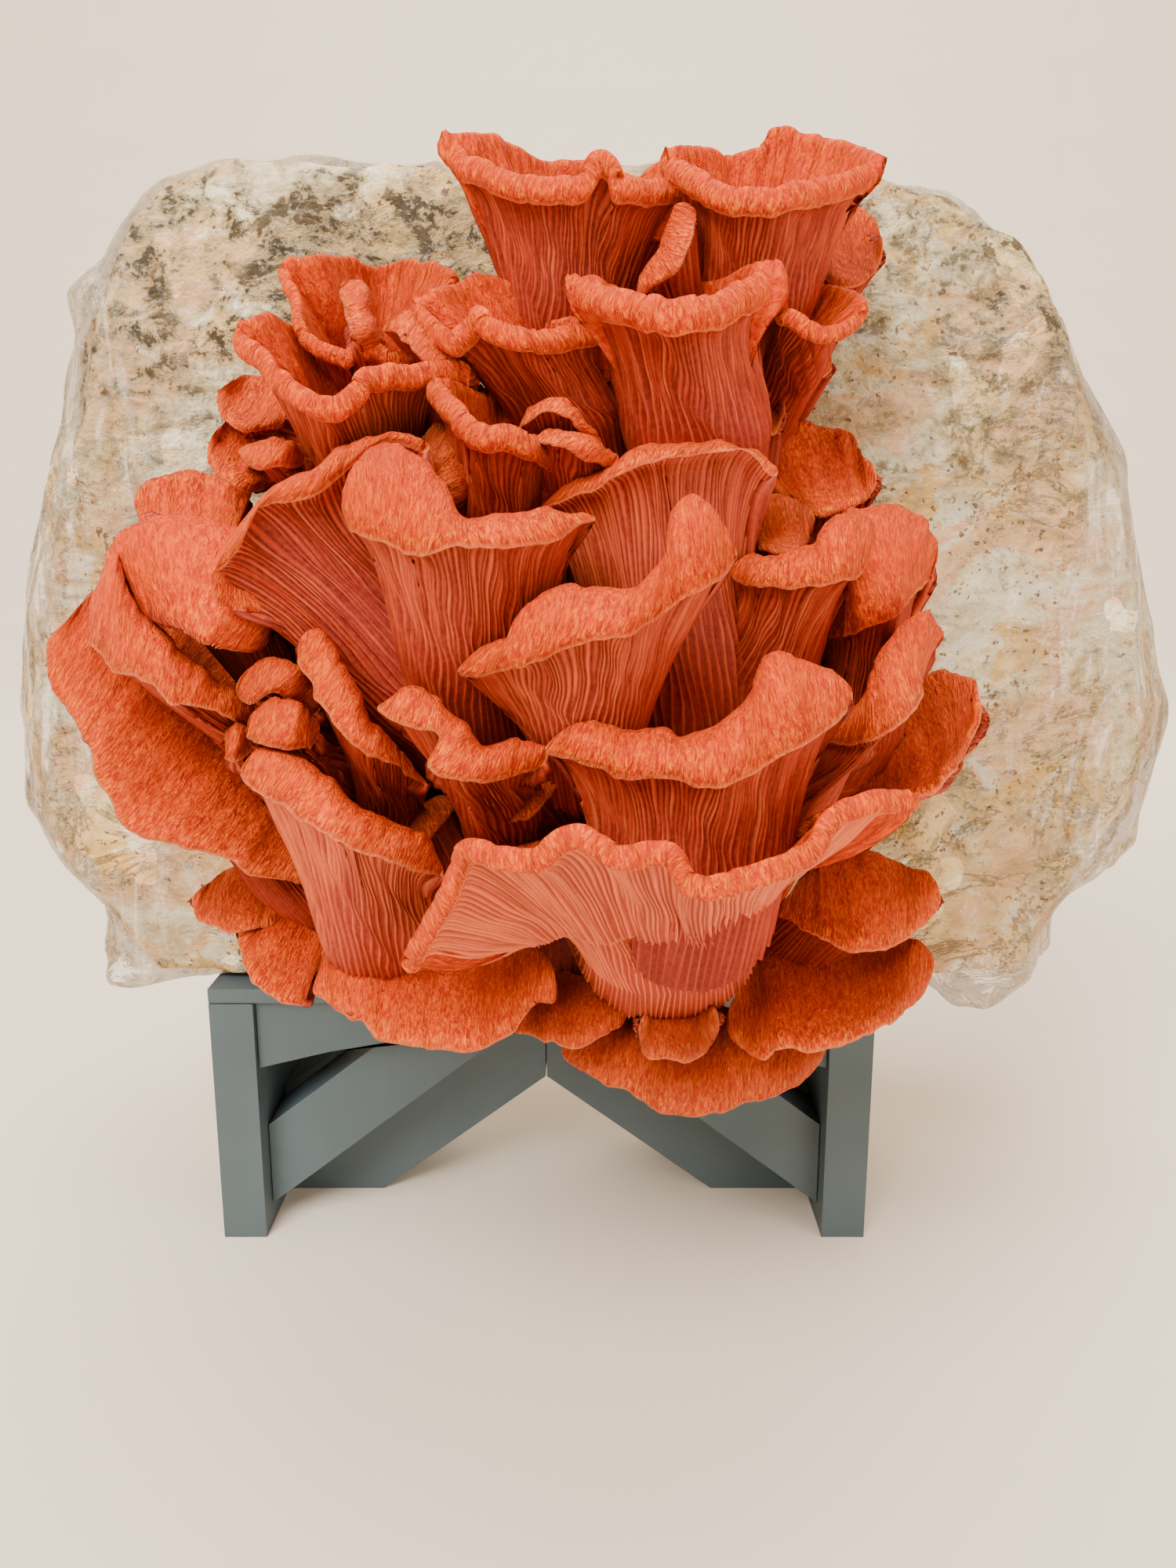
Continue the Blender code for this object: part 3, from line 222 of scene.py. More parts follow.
# near: the rim's edge nearest the eye, left to right; far: the rim behind it, right to left
# out: how far the rim stands out at its near middle, its sides and its far middle
# knee: where the stem meets the cap, as (right, down, out); stem: its radius; lip: the rolled edge
# form: open for a funnel, arch for a cap that rolls away from the eye, dish for one seen flat
# crown: how much a dish rises or sinks for its width; curl: how much more its near half rises
# and its far half sinks; brown: how dark and aged its skin is; pale: how pale its gills are
# ledge: how far the gilled side steps in below its upper part
MUSHROOMS = {
    "mushroom_top_left": Mushroom(
        near=[(566, 202), (580, 222), (600, 238), (650, 256), (720, 263), (750, 257), (762, 226),
              (778, 230), (784, 258), (810, 265), (850, 262), (886, 250)],
        far=[(888, 236), (868, 214), (840, 212), (815, 224), (792, 211), (745, 201), (700, 198),
             (640, 181), (590, 188)],
        out=(60, 46, 28), knee=(722, 425, 36), stem=8.0, lip=4.0, form="open"),
    "mushroom_top_right": Mushroom(
        near=[(848, 226), (868, 246), (892, 262), (940, 275), (1000, 273), (1050, 266),
              (1090, 254), (1116, 236)],
        far=[(1118, 220), (1098, 196), (1050, 173), (1003, 152), (978, 155), (962, 180),
             (925, 192), (880, 196), (856, 206)],
        out=(64, 48, 30), knee=(955, 400, 38), stem=9.0, lip=4.0, form="open"),
    "mushroom_top_flap": Mushroom(
        near=[(814, 384), (840, 364), (868, 340), (882, 300), (887, 266)],
        far=[(866, 262), (860, 300), (846, 330), (822, 358)],
        out=(62, 56, 46), knee=(870, 420, 42), stem=4.0, lip=2.0, form="dish", crown=0.15),
    "mushroom_top_back": Mushroom(
        near=[(1040, 345), (1070, 364), (1098, 360), (1118, 338)],
        far=[(1128, 308), (1110, 284), (1084, 267), (1056, 262), (1040, 300)],
        out=(34, 26, 16), knee=(1020, 420, 16), stem=5.0, lip=2.0,
        form="dish", crown=-0.08, brown=0.1),
    "mushroom_right_small": Mushroom(
        near=[(982, 388), (995, 417), (1030, 434), (1068, 437), (1090, 420)],
        far=[(1100, 394), (1088, 368), (1050, 349), (1015, 344), (990, 360)],
        out=(66, 54, 40), knee=(1000, 480, 38), stem=5.0, lip=3.0, form="open"),
    "mushroom_right_bud": Mushroom(
        near=[(1012, 478), (1036, 482), (1057, 476)],
        far=[(1060, 458), (1050, 436), (1030, 436)],
        out=(34, 28, 20), knee=(1000, 520, 16), stem=4.0, lip=1.5,
        form="dish", crown=0.1, brown=0.2),
    "mushroom_upper_centre": Mushroom(
        near=[(733, 390), (748, 404), (800, 415), (860, 425), (910, 422), (955, 405), (984, 376)],
        far=[(975, 356), (935, 350), (880, 362), (800, 370), (750, 374)],
        out=(82, 64, 46), knee=(893, 575, 52), stem=10.0, lip=5.0, form="open"),
    "mushroom_middle_left": Mushroom(
        near=[(538, 412), (552, 432), (580, 451), (602, 438), (616, 420), (626, 441), (665, 456),
              (720, 448), (784, 434)],
        far=[(782, 420), (740, 404), (690, 400), (655, 368), (622, 345), (598, 350), (572, 367),
             (548, 390)],
        out=(74, 58, 44), knee=(735, 540, 46), stem=8.0, lip=4.0, form="open"),
    "mushroom_upper_left": Mushroom(
        near=[(362, 358), (372, 395), (388, 432), (412, 460), (442, 476), (462, 462), (480, 460),
              (500, 468), (540, 452), (572, 400)],
        far=[(580, 356), (556, 338), (520, 328), (475, 331), (440, 327), (400, 332)],
        out=(58, 44, 24), knee=(480, 520, 30), stem=7.0, lip=3.0, form="open"),
    "mushroom_finger": Mushroom(
        near=[(433, 372), (446, 420), (464, 474)],
        far=[(494, 468), (480, 405), (464, 362), (446, 354)],
        out=(62, 54, 44), knee=(500, 540, 40), stem=3.5, lip=2.5, form="arch", brown=0.1),
    "mushroom_fold_strip": Mushroom(
        near=[(488, 420), (505, 433), (535, 453), (570, 476), (604, 494)],
        far=[(612, 486), (592, 456), (560, 430), (535, 405), (506, 405)],
        out=(68, 60, 48), knee=(610, 540, 42), stem=4.0, lip=2.0,
        form="dish", crown=0.2, brown=0.1),
    "mushroom_left_cap": Mushroom(
        near=[(310, 445), (320, 468), (345, 492), (385, 522), (428, 538), (462, 522), (480, 504),
              (540, 498), (592, 490)],
        far=[(582, 478), (530, 470), (470, 468), (425, 468), (395, 445), (372, 418), (345, 408),
             (322, 420)],
        out=(78, 62, 46), knee=(475, 610, 44), stem=8.0, lip=4.0, form="open", pale=0.4),
    "mushroom_left_lobe_upper": Mushroom(
        near=[(276, 510), (285, 536), (310, 549), (355, 548)],
        far=[(364, 525), (350, 496), (320, 485), (290, 489)],
        out=(48, 40, 30), knee=(390, 560, 30), stem=5.0, lip=2.5, form="dish", crown=-0.12),
    "mushroom_left_lobe_lower": Mushroom(
        near=[(266, 575), (278, 602), (305, 624), (345, 618)],
        far=[(372, 590), (350, 548), (300, 541), (274, 552)],
        out=(56, 46, 34), knee=(400, 600, 32), stem=5.0, lip=2.5, form="dish", crown=-0.1),
    "mushroom_left_lobe_curl": Mushroom(
        near=[(304, 578), (325, 597), (355, 600), (388, 592)],
        far=[(386, 575), (362, 564), (335, 560), (314, 566)],
        out=(66, 56, 46), knee=(420, 640, 42), stem=4.0, lip=2.5, form="arch"),
    "mushroom_folded": Mushroom(
        near=[(550, 512), (558, 530), (578, 552), (620, 572), (675, 588), (717, 614)],
        far=[(712, 590), (668, 562), (656, 532), (652, 498), (627, 480), (610, 500), (585, 500),
             (562, 499)],
        out=(86, 70, 52), knee=(645, 690, 56), stem=7.0, lip=4.0, form="open", brown=0.2),
    "mushroom_brown_tube": Mushroom(
        near=[(537, 572), (550, 596), (568, 622), (590, 650)],
        far=[(612, 642), (600, 602), (586, 566), (562, 543), (545, 550)],
        out=(74, 66, 54), knee=(630, 700, 52), stem=4.0, lip=2.0,
        form="dish", crown=0.2, brown=0.7),
    "mushroom_crescent_back": Mushroom(
        near=[(660, 560), (668, 542), (690, 528), (715, 537), (755, 560)],
        far=[(768, 564), (745, 538), (715, 511), (685, 513), (664, 535)],
        out=(80, 72, 60), knee=(725, 615, 56), stem=5.0, lip=2.5, form="arch"),
    "mushroom_crescent_front": Mushroom(
        near=[(668, 570), (690, 566), (718, 568), (748, 586), (777, 596)],
        far=[(790, 584), (762, 561), (715, 549), (680, 555)],
        out=(86, 78, 66), knee=(735, 650, 62), stem=5.0, lip=2.5, form="arch"),
    "mushroom_big_fan": Mushroom(
        near=[(372, 772), (330, 787), (282, 776), (268, 742), (290, 712), (312, 690), (318, 668),
              (345, 650), (400, 630), (446, 596), (490, 566), (540, 578)],
        far=[(545, 566), (505, 551), (455, 562), (400, 597), (345, 622), (305, 660), (292, 705),
             (300, 735), (345, 748)],
        out=(88, 76, 58), knee=(570, 890, 62), stem=11.0, lip=4.0, form="arch", pale=0.0),
    "mushroom_curled": Mushroom(
        near=[(437, 648), (448, 680), (490, 697), (560, 703), (640, 700), (700, 690), (735, 672),
              (760, 664)],
        far=[(745, 654), (700, 650), (640, 655), (590, 652), (560, 608), (535, 583), (505, 567),
             (470, 573), (448, 598), (437, 625)],
        out=(106, 90, 66), knee=(600, 860, 76), stem=9.0, lip=4.5, form="arch", pale=0.3),
    "mushroom_central_fan": Mushroom(
        near=[(688, 652), (720, 638), (770, 616), (820, 595), (870, 578), (935, 578), (965, 590),
              (986, 608)],
        far=[(992, 598), (965, 577), (920, 561), (870, 561), (820, 573), (770, 596), (720, 618)],
        out=(88, 74, 56), knee=(865, 930, 62), stem=11.0, lip=3.0, form="arch", pale=0.35),
    "mushroom_small_back": Mushroom(
        near=[(948, 556), (972, 563), (994, 545)],
        far=[(1001, 518), (984, 511), (958, 524)],
        out=(50, 44, 36), knee=(960, 610, 34), stem=4.0, lip=1.5,
        form="dish", crown=-0.1, brown=0.5),
    "mushroom_right_upper": Mushroom(
        near=[(1010, 648), (1045, 660), (1085, 650), (1112, 630)],
        far=[(1117, 600), (1090, 576), (1072, 552), (1030, 546), (990, 549), (968, 575),
             (975, 615)],
        out=(52, 40, 20), knee=(1010, 720, 28), stem=7.0, lip=3.0, form="dish", crown=-0.1),
    "mushroom_small_dark": Mushroom(
        near=[(963, 700), (990, 712), (1015, 703), (1034, 680)],
        far=[(1037, 660), (1015, 645), (985, 637), (964, 655), (960, 680)],
        out=(76, 68, 58), knee=(980, 770, 54), stem=5.0, lip=2.5,
        form="dish", crown=-0.15, brown=0.5),
    "mushroom_right_middle": Mushroom(
        near=[(930, 738), (965, 745), (1040, 745), (1080, 740), (1112, 715)],
        far=[(1118, 685), (1108, 662), (1078, 652), (1050, 665), (1030, 698), (985, 706),
             (945, 712)],
        out=(88, 74, 54), knee=(957, 880, 62), stem=8.0, lip=4.5, form="arch"),
    "mushroom_right_cap": Mushroom(
        near=[(1034, 792), (1055, 816), (1104, 801), (1150, 778), (1185, 742)],
        far=[(1195, 700), (1180, 664), (1145, 644), (1105, 643), (1075, 660), (1085, 700),
             (1055, 745)],
        out=(74, 54, 28), knee=(1085, 930, 44), stem=8.0, lip=4.0, form="arch"),
    "mushroom_tongue": Mushroom(
        near=[(1045, 937), (1080, 947), (1122, 944), (1155, 920), (1176, 885), (1184, 842)],
        far=[(1204, 812), (1192, 788), (1168, 781), (1142, 806), (1118, 840), (1100, 890),
             (1066, 908)],
        out=(94, 76, 46), knee=(965, 1075, 64), stem=8.0, lip=4.5, form="arch"),
    "mushroom_right_lower": Mushroom(
        near=[(1098, 1014), (1130, 1023), (1180, 1015), (1215, 985), (1240, 950)],
        far=[(1253, 900), (1238, 870), (1185, 862), (1165, 905), (1128, 955), (1100, 980)],
        out=(66, 48, 22), knee=(1075, 1045, 36), stem=7.0, lip=3.5, form="dish", crown=-0.12),
    "mushroom_scroll": Mushroom(
        near=[(583, 858), (620, 862), (670, 845), (720, 829), (790, 815), (840, 792), (868, 765),
              (915, 744), (940, 712)],
        far=[(932, 690), (912, 652), (885, 633), (858, 652), (843, 705), (808, 746), (745, 745),
             (690, 758), (655, 785), (650, 808), (610, 828)],
        out=(110, 94, 78), knee=(748, 930, 84), stem=8.0, lip=4.5, form="arch", pale=0.45),
    "mushroom_near_crown": Mushroom(
        near=[(697, 962), (760, 978), (820, 997), (880, 1001), (940, 997), (1000, 965),
              (1050, 940), (1083, 900)],
        far=[(1084, 872), (1050, 848), (1005, 831), (975, 838), (950, 890), (900, 930),
             (830, 932), (760, 918), (715, 935)],
        out=(114, 98, 74), knee=(885, 1125, 86), stem=12.0, lip=5.0, form="arch"),
    "mushroom_great_lower": Mushroom(
        near=[(530, 1240), (548, 1208), (575, 1168), (600, 1106), (640, 1107), (685, 1116),
              (730, 1086), (770, 1094), (800, 1105), (855, 1110), (885, 1145), (930, 1150),
              (1000, 1120), (1045, 1095), (1075, 1052), (1120, 1040), (1164, 1036)],
        far=[(1150, 1022), (1095, 1020), (1040, 1036), (985, 1085), (890, 1118), (840, 1080),
             (760, 1060), (670, 1072), (610, 1084), (580, 1130), (545, 1190), (525, 1228)],
        out=(122, 98, 84), knee=(850, 1175, 70), stem=14.0, lip=4.0,
        form="open", ledge=3.6, pale=1.0),
    "mushroom_lower_small": Mushroom(
        near=[(992, 1166), (1025, 1186), (1055, 1199), (1090, 1217), (1135, 1212), (1170, 1186),
              (1196, 1158)],
        far=[(1198, 1132), (1176, 1114), (1140, 1106), (1095, 1092), (1050, 1100), (1010, 1140)],
        out=(76, 58, 38), knee=(1010, 1215, 46), stem=6.0, lip=3.0, form="dish", crown=0.06),
    "mushroom_bottom_right": Mushroom(
        near=[(930, 1312), (948, 1342), (975, 1350), (998, 1336), (1040, 1341), (1100, 1327),
              (1150, 1300), (1182, 1258)],
        far=[(1190, 1225), (1170, 1201), (1110, 1196), (1040, 1196), (985, 1205), (955, 1245),
             (932, 1285)],
        out=(86, 66, 44), knee=(1010, 1240, 44), stem=8.0, lip=3.0,
        form="dish", crown=-0.05, brown=0.2),
    "mushroom_bottom_lobe": Mushroom(
        near=[(817, 1318), (830, 1350), (865, 1357), (900, 1344), (916, 1318)],
        far=[(912, 1288), (880, 1274), (840, 1278), (820, 1295)],
        out=(84, 74, 60), knee=(868, 1290, 50), stem=5.0, lip=2.5,
        form="dish", crown=0.05, brown=0.5),
    "mushroom_bottom_centre": Mushroom(
        near=[(718, 1335), (745, 1368), (800, 1396), (870, 1421), (935, 1416), (1000, 1395),
              (1040, 1360)],
        far=[(1050, 1330), (990, 1300), (900, 1290), (800, 1296), (740, 1315)],
        out=(76, 60, 44), knee=(880, 1330, 38), stem=8.0, lip=3.0,
        form="dish", crown=0.12, brown=0.4),
    "mushroom_bottom_inner": Mushroom(
        near=[(652, 1312), (690, 1329), (735, 1334), (768, 1322), (795, 1306)],
        far=[(800, 1275), (770, 1250), (720, 1245), (680, 1262), (658, 1288)],
        out=(78, 68, 54), knee=(735, 1290, 48), stem=6.0, lip=2.5,
        form="dish", crown=0.05, brown=0.4),
    "mushroom_bottom_left": Mushroom(
        near=[(400, 1262), (415, 1281), (445, 1297), (470, 1307), (485, 1326), (520, 1338),
              (570, 1341), (615, 1334), (655, 1311), (684, 1280), (708, 1278)],
        far=[(706, 1240), (680, 1210), (620, 1200), (560, 1196), (500, 1184), (450, 1183),
             (416, 1205), (410, 1235)],
        out=(94, 74, 50), knee=(570, 1260, 48), stem=9.0, lip=3.0, form="dish", crown=0.08),
    "mushroom_left_lower": Mushroom(
        near=[(303, 1195), (310, 1235), (332, 1257), (362, 1281), (388, 1278), (400, 1245)],
        far=[(420, 1215), (425, 1165), (405, 1145), (350, 1170), (315, 1182)],
        out=(72, 60, 42), knee=(390, 1210, 36), stem=6.0, lip=2.5, form="dish", crown=0.08),
    "mushroom_left_small": Mushroom(
        near=[(245, 1152), (262, 1178), (300, 1190), (345, 1182), (388, 1158)],
        far=[(398, 1130), (350, 1122), (305, 1111), (270, 1124), (250, 1138)],
        out=(62, 50, 36), knee=(370, 1160, 32), stem=5.0, lip=2.5,
        form="dish", crown=0.05, brown=0.1),
    "mushroom_left_big": Mushroom(
        near=[(62, 820), (68, 880), (100, 930), (130, 1000), (160, 1058), (235, 1077),
              (310, 1110), (360, 1123), (420, 1131)],
        far=[(430, 1104), (405, 1045), (360, 965), (318, 882), (255, 802), (185, 752),
             (120, 758), (85, 792)],
        out=(80, 58, 26), knee=(455, 1100, 50), stem=9.0, lip=4.0, form="dish", crown=0.06),
    "mushroom_left_ribbon": Mushroom(
        near=[(113, 800), (122, 832), (150, 860), (190, 872), (225, 895), (275, 912),
              (318, 923)],
        far=[(324, 900), (290, 870), (240, 840), (200, 800), (170, 755), (155, 700), (132, 722),
             (116, 765)],
        out=(86, 70, 46), knee=(380, 960, 52), stem=6.0, lip=4.0, form="arch"),
    "mushroom_left_curled": Mushroom(
        near=[(165, 745), (180, 770), (205, 796), (238, 811), (262, 826), (322, 827),
              (356, 798)],
        far=[(362, 765), (330, 725), (305, 672), (312, 622), (255, 606), (215, 612), (178, 638),
             (200, 672), (178, 712)],
        out=(84, 62, 36), knee=(370, 860, 48), stem=7.0, lip=4.0,
        form="dish", crown=0.07, curl=0.14),
    "mushroom_diagonal": Mushroom(
        near=[(308, 988), (335, 1018), (385, 1042), (432, 1073), (470, 1097), (515, 1104),
              (560, 1117)],
        far=[(563, 1098), (545, 1072), (500, 1048), (465, 1028), (430, 1003), (385, 962),
             (340, 953), (318, 965)],
        out=(104, 88, 70), knee=(478, 1190, 72), stem=8.0, lip=4.5, form="arch", pale=0.6),
    "mushroom_lump_upper": Mushroom(
        near=[(297, 885), (320, 894), (352, 888), (398, 912)],
        far=[(408, 895), (388, 858), (350, 839), (318, 850)],
        out=(86, 78, 66), knee=(425, 950, 62), stem=5.0, lip=3.0, form="arch", brown=0.2),
    "mushroom_lump_middle": Mushroom(
        near=[(312, 938), (332, 950), (370, 960), (402, 948)],
        far=[(406, 922), (385, 900), (350, 890), (325, 908)],
        out=(94, 86, 74), knee=(430, 985, 66), stem=5.0, lip=3.0, form="arch", brown=0.1),
    "mushroom_narrow": Mushroom(
        near=[(381, 830), (392, 880), (420, 908), (442, 940), (485, 967), (545, 1003)],
        far=[(530, 980), (490, 930), (455, 880), (430, 832), (405, 802), (386, 808)],
        out=(98, 84, 68), knee=(500, 1040, 62), stem=5.0, lip=4.0, form="arch"),
    "mushroom_centre_curled": Mushroom(
        near=[(481, 906), (510, 927), (553, 939), (545, 975), (580, 993), (640, 998),
              (690, 978)],
        far=[(698, 955), (660, 944), (615, 946), (585, 915), (555, 888), (520, 879), (495, 892)],
        out=(110, 98, 84), knee=(640, 1035, 76), stem=6.0, lip=4.0, form="arch"),
    "mushroom_leaf": Mushroom(
        near=[(610, 1057), (645, 1052), (680, 1036), (708, 1006), (731, 977)],
        far=[(722, 965), (675, 975), (625, 1005), (608, 1035)],
        out=(90, 82, 72), knee=(720, 1060, 64), stem=4.0, lip=2.0,
        form="dish", crown=0.05, brown=0.4),
    "mushroom_bud": Mushroom(
        near=[(524, 1062), (548, 1072), (572, 1048), (582, 1024)],
        far=[(560, 1020), (532, 1042)],
        out=(74, 68, 62), knee=(590, 1100, 58), stem=3.5, lip=2.0,
        form="dish", crown=0.05, brown=0.5),
    "mushroom_lump_small": Mushroom(
        near=[(286, 950), (298, 972), (320, 958)],
        far=[(320, 935), (300, 922), (288, 934)],
        out=(80, 74, 66), knee=(350, 1000, 56), stem=3.5, lip=2.0, form="arch", brown=0.2),
}


def unit(vector):
    """The vector at length one, also for a row of vectors."""
    length = np.linalg.norm(vector, axis=-1, keepdims=True)
    return vector / np.maximum(length, 1e-9)


def sight(right, down, out):
    """The point seen at (right, down) on the drawing that stands `out` in front of the block."""
    across = (right - DRAWING_CENTRE[0]) / DRAWING_FOCAL
    up = (DRAWING_CENTRE[1] - down) / DRAWING_FOCAL
    forward = math.cos(EYE_TILT) + up * math.sin(EYE_TILT)
    reach = (EYE_DISTANCE - out) / forward
    rise = up * math.cos(EYE_TILT) - math.sin(EYE_TILT)
    return np.array([across * reach, -out, EYE_HEIGHT + rise * reach])


def slide_along_sight(points, out):
    """The points moved along the eye's line of sight to stand `out` in front of the block."""
    eye = np.array([0.0, -EYE_DISTANCE, EYE_HEIGHT])
    scale = (EYE_DISTANCE - out) / (EYE_DISTANCE + points[:, 1])
    return eye + (points - eye) * scale[:, None]


def path_fractions(points):
    """How far along the path each point is, from 0 to 1."""
    steps = np.linalg.norm(np.diff(points, axis=0), axis=1)
    along = np.concatenate([[0.0], np.cumsum(steps)])
    return along / along[-1]


def path_length(points):
    """The open path's length."""
    return float(np.linalg.norm(np.diff(points, axis=0), axis=1).sum())


def rim_points(mushroom):
    """The rim's drawn points in space: along the near edge, then back along the far edge."""
    near_out, side_out, far_out = mushroom.out
    points = []
    for drawn, middle_out in ((mushroom.near, near_out), (mushroom.far, far_out)):
        for (right, down), along in zip(drawn, path_fractions(np.array(drawn, float))):
            out = side_out + (middle_out - side_out) * math.sin(math.pi * along)
            points.append(sight(right, down, out))
    return np.array(points)


def closed_curve(points):
    """A smooth closed curve through the points."""
    curve = []
    count = len(points)
    for index in range(count):
        before, start, end, after = (points[(index + shift) % count] for shift in (-1, 0, 1, 2))
        for step in range(CURVE_POINTS):
            t = step / CURVE_POINTS
            curve.append(0.5 * (2 * start + (end - before) * t
                                + (2 * before - 5 * start + 4 * end - after) * t ** 2
                                + (3 * start - before - 3 * end + after) * t ** 3))
    return np.array(curve)


def even_path(path, count):
    """The open path read at `count` evenly spaced places."""
    places = np.linspace(0.0, 1.0, count)
    along = path_fractions(path)
    return np.stack([np.interp(places, along, path[:, axis]) for axis in range(3)], axis=1)


def bezier(first, second, third, fourth, t):
    """A point of the cubic curve with these four poles."""
    s = 1.0 - t
    return s ** 3 * first + 3 * s * s * t * second + 3 * s * t * t * third + t ** 3 * fourth


def smooth_step(value):
    """From 0 to 1 with soft ends."""
    value = np.clip(value, 0.0, 1.0)
    return value * value * (3.0 - 2.0 * value)


def two_edges(mushroom):
    """The near edge from left to right and the far edge from right to left, as fine paths."""
    curve = closed_curve(rim_points(mushroom))
    half_step = CURVE_POINTS // 2
    curve = np.roll(curve, half_step, axis=0)
    turn = len(mushroom.near) * CURVE_POINTS
    near = curve[:turn + 1]
    far = np.vstack([curve[turn:], curve[:1]])
    return near, far


def full_between_ends(points):
    """For each point of the path, a share that rises quickly from 0 at its ends to 1."""
    return np.sin(math.pi * path_fractions(points))[:, None] ** 0.5


def ruffled(points, seed):
    """The path with small waves that die out at its ends."""
    along = path_fractions(points)
    length = path_length(points)
    fade = full_between_ends(points)
    moved = points.copy()
    random = np.random.default_rng(seed)
    for span in RUFFLE_SPANS:
        phase = random.uniform(0.0, 2 * math.pi, 3)
        turn = along[:, None] * length / span * 2 * math.pi
        twist = RUFFLE_TWIST * np.sin(turn * RUFFLE_TWIST_TURN + phase[::-1])
        wave = np.sin(turn + phase + twist)
        moved += wave * fade * RUFFLE * (span / RUFFLE_SPANS[0]) ** RUFFLE_FALL
    return moved


def cap_frame(mushroom, rim):
    """The knee and the cap's axis there."""
    middle = rim.mean(axis=0)
    area = np.cross(rim - middle, np.roll(rim, -1, axis=0) - middle).sum(axis=0)
    mouth = unit(area)
    knee = sight(*mushroom.knee)
    size = math.sqrt(np.linalg.norm(area) / (2 * math.pi))
    least = CAP_DEPTH_SHARE * size + CAP_DEPTH_LEAST
    depth = float(np.dot(middle - knee, mouth))
    if depth < least:
        knee = knee - mouth * (least - depth)
    return knee, unit(unit(middle - knee) + mouth * MOUTH_LEAN)


def ring(middle, axis, radius, rim):
    """A ring about the axis whose points face the rim's points, one for each."""
    side = unit(np.cross(axis, RING_START))
    other = np.cross(axis, side)
    angles = 2 * math.pi * np.arange(len(rim)) / len(rim)
    spread = rim - rim.mean(axis=0)
    seen = spread @ side + 1j * (spread @ other)
    angles = angles + np.angle((seen * np.exp(-1j * angles)).sum())
    return middle + radius * (np.outer(np.cos(angles), side) + np.outer(np.sin(angles), other))


def foot_place(knee):
    """Where a stem to this knee starts, a little inside the base."""
    middle = np.array(BASE_MIDDLE)
    half = np.array(BASE_HALF)
    way = (knee - middle) / half
    way = way / max(np.linalg.norm(way), 1.0)
    return middle + way * half * FOOT_DEPTH


def stem_rings(mushroom, knee, axis, rim, count):
    """Rings along the stem from the base up to the knee."""
    foot = foot_place(knee)
    length = np.linalg.norm(knee - foot)
    if length < STEM_LEAST * mushroom.stem:
        length = STEM_LEAST * mushroom.stem
        foot = knee - unit(unit(knee - foot) + 2 * axis) * length
    poles = (foot, foot + (knee - foot) * STEM_BEND, knee - axis * length * STEM_BEND, knee)
    rings = []
    for step in range(count):
        t = step / count
        middle = bezier(*poles, t)
        heading = unit(bezier(*poles, t + CURVE_STEP) - middle)
        radius = mushroom.stem * STEM_STOUT * (FOOT_SWELL + (1.0 - FOOT_SWELL) * t)
        rings.append(ring(middle, heading, radius, rim))
    return rings


def cap_ring(mushroom, knee, axis, rim, t):
    """A ring of the gilled side, from the knee (t = 0) out to the rim (t = 1)."""
    start = ring(knee, axis, mushroom.stem * STEM_STOUT, rim)
    reach = np.linalg.norm(rim - start, axis=1)[:, None]
    height = ((rim - knee) @ axis)[:, None]
    flare = unit(rim - (knee + axis * height * RIM_LEAN))
    second = start + (axis * KNEE_REACH + flare * KNEE_SPREAD) * reach
    third = rim - unit(flare + axis * RIM_DROP) * reach * RIM_REACH
    return bezier(start, second, third, rim, t)


def loop_length(curve):
    """The closed curve's length."""
    return float(np.linalg.norm(np.roll(curve, -1, axis=0) - curve, axis=1).sum())


def room_across(points):
    """For each point of a ring, how far it is from the part of the ring that faces it."""
    count = len(points)
    spacing = loop_length(points) / count
    steps = np.abs(np.arange(count)[:, None] - np.arange(count)[None, :])
    steps = np.minimum(steps, count - steps)
    gaps = np.linalg.norm(points[:, None, :] - points[None, :, :], axis=2)
    neighbours = steps * spacing < min(FOLD_SPAN, spacing * (count // 2 - 1))
    gaps[neighbours] = np.inf
    return gaps.min(axis=1)[:, None]


def rim_directions(mushroom, knee, axis, rim, t=1.0):
    """At each point of the ring at t: the ways in through the flesh and forward to the rim."""
    before = cap_ring(mushroom, knee, axis, rim, t - CURVE_STEP)
    here = cap_ring(mushroom, knee, axis, rim, t)
    around = np.roll(here, -1, axis=0) - np.roll(here, 1, axis=0)
    way_in = -unit(np.cross(around, here - before))
    return here, way_in, unit(here - before)


def gill_grooves(count, rows):
    """How deep the gilled side is cut at each row and column, from 0 on a crest to 1."""
    gill = np.arange(count) // 2
    crest = np.arange(count) % 2 == 0
    grooves = np.ones((len(rows), count))
    shift = np.random.default_rng(count).uniform(-GILL_START_SHIFT, GILL_START_SHIFT, count)
    for kind, start in GILL_STARTS.items():
        columns = crest & (gill % 4 == kind)
        begun = np.array(rows)[:, None] - start - shift[None, columns]
        grooves[:, columns] = 1.0 - smooth_step(begun / GILL_START_BLEND)
    return grooves


def wander(count, rows, seed):
    """A slow sideways drift of the gills at each row and column."""
    random = np.random.default_rng(seed)
    columns = np.arange(count) / count * 2 * math.pi
    drift = np.zeros((len(rows), count))
    for turns in WANDER_TURNS:
        phase, twist = random.uniform(0.0, 2 * math.pi, 2)
        places = np.array(rows)[:, None] * (WANDER_SLOPE + turns)
        drift += np.sin(turns * columns[None, :] + phase + places + twist) / math.sqrt(turns)
    return drift


def dish_height(mushroom, width, place):
    """How far a dish's skin bulges at a place across it, from 0 at the near edge to 1."""
    hump = mushroom.crown * math.sin(math.pi * place)
    return (hump + mushroom.curl * math.sin(2 * math.pi * place)) * width


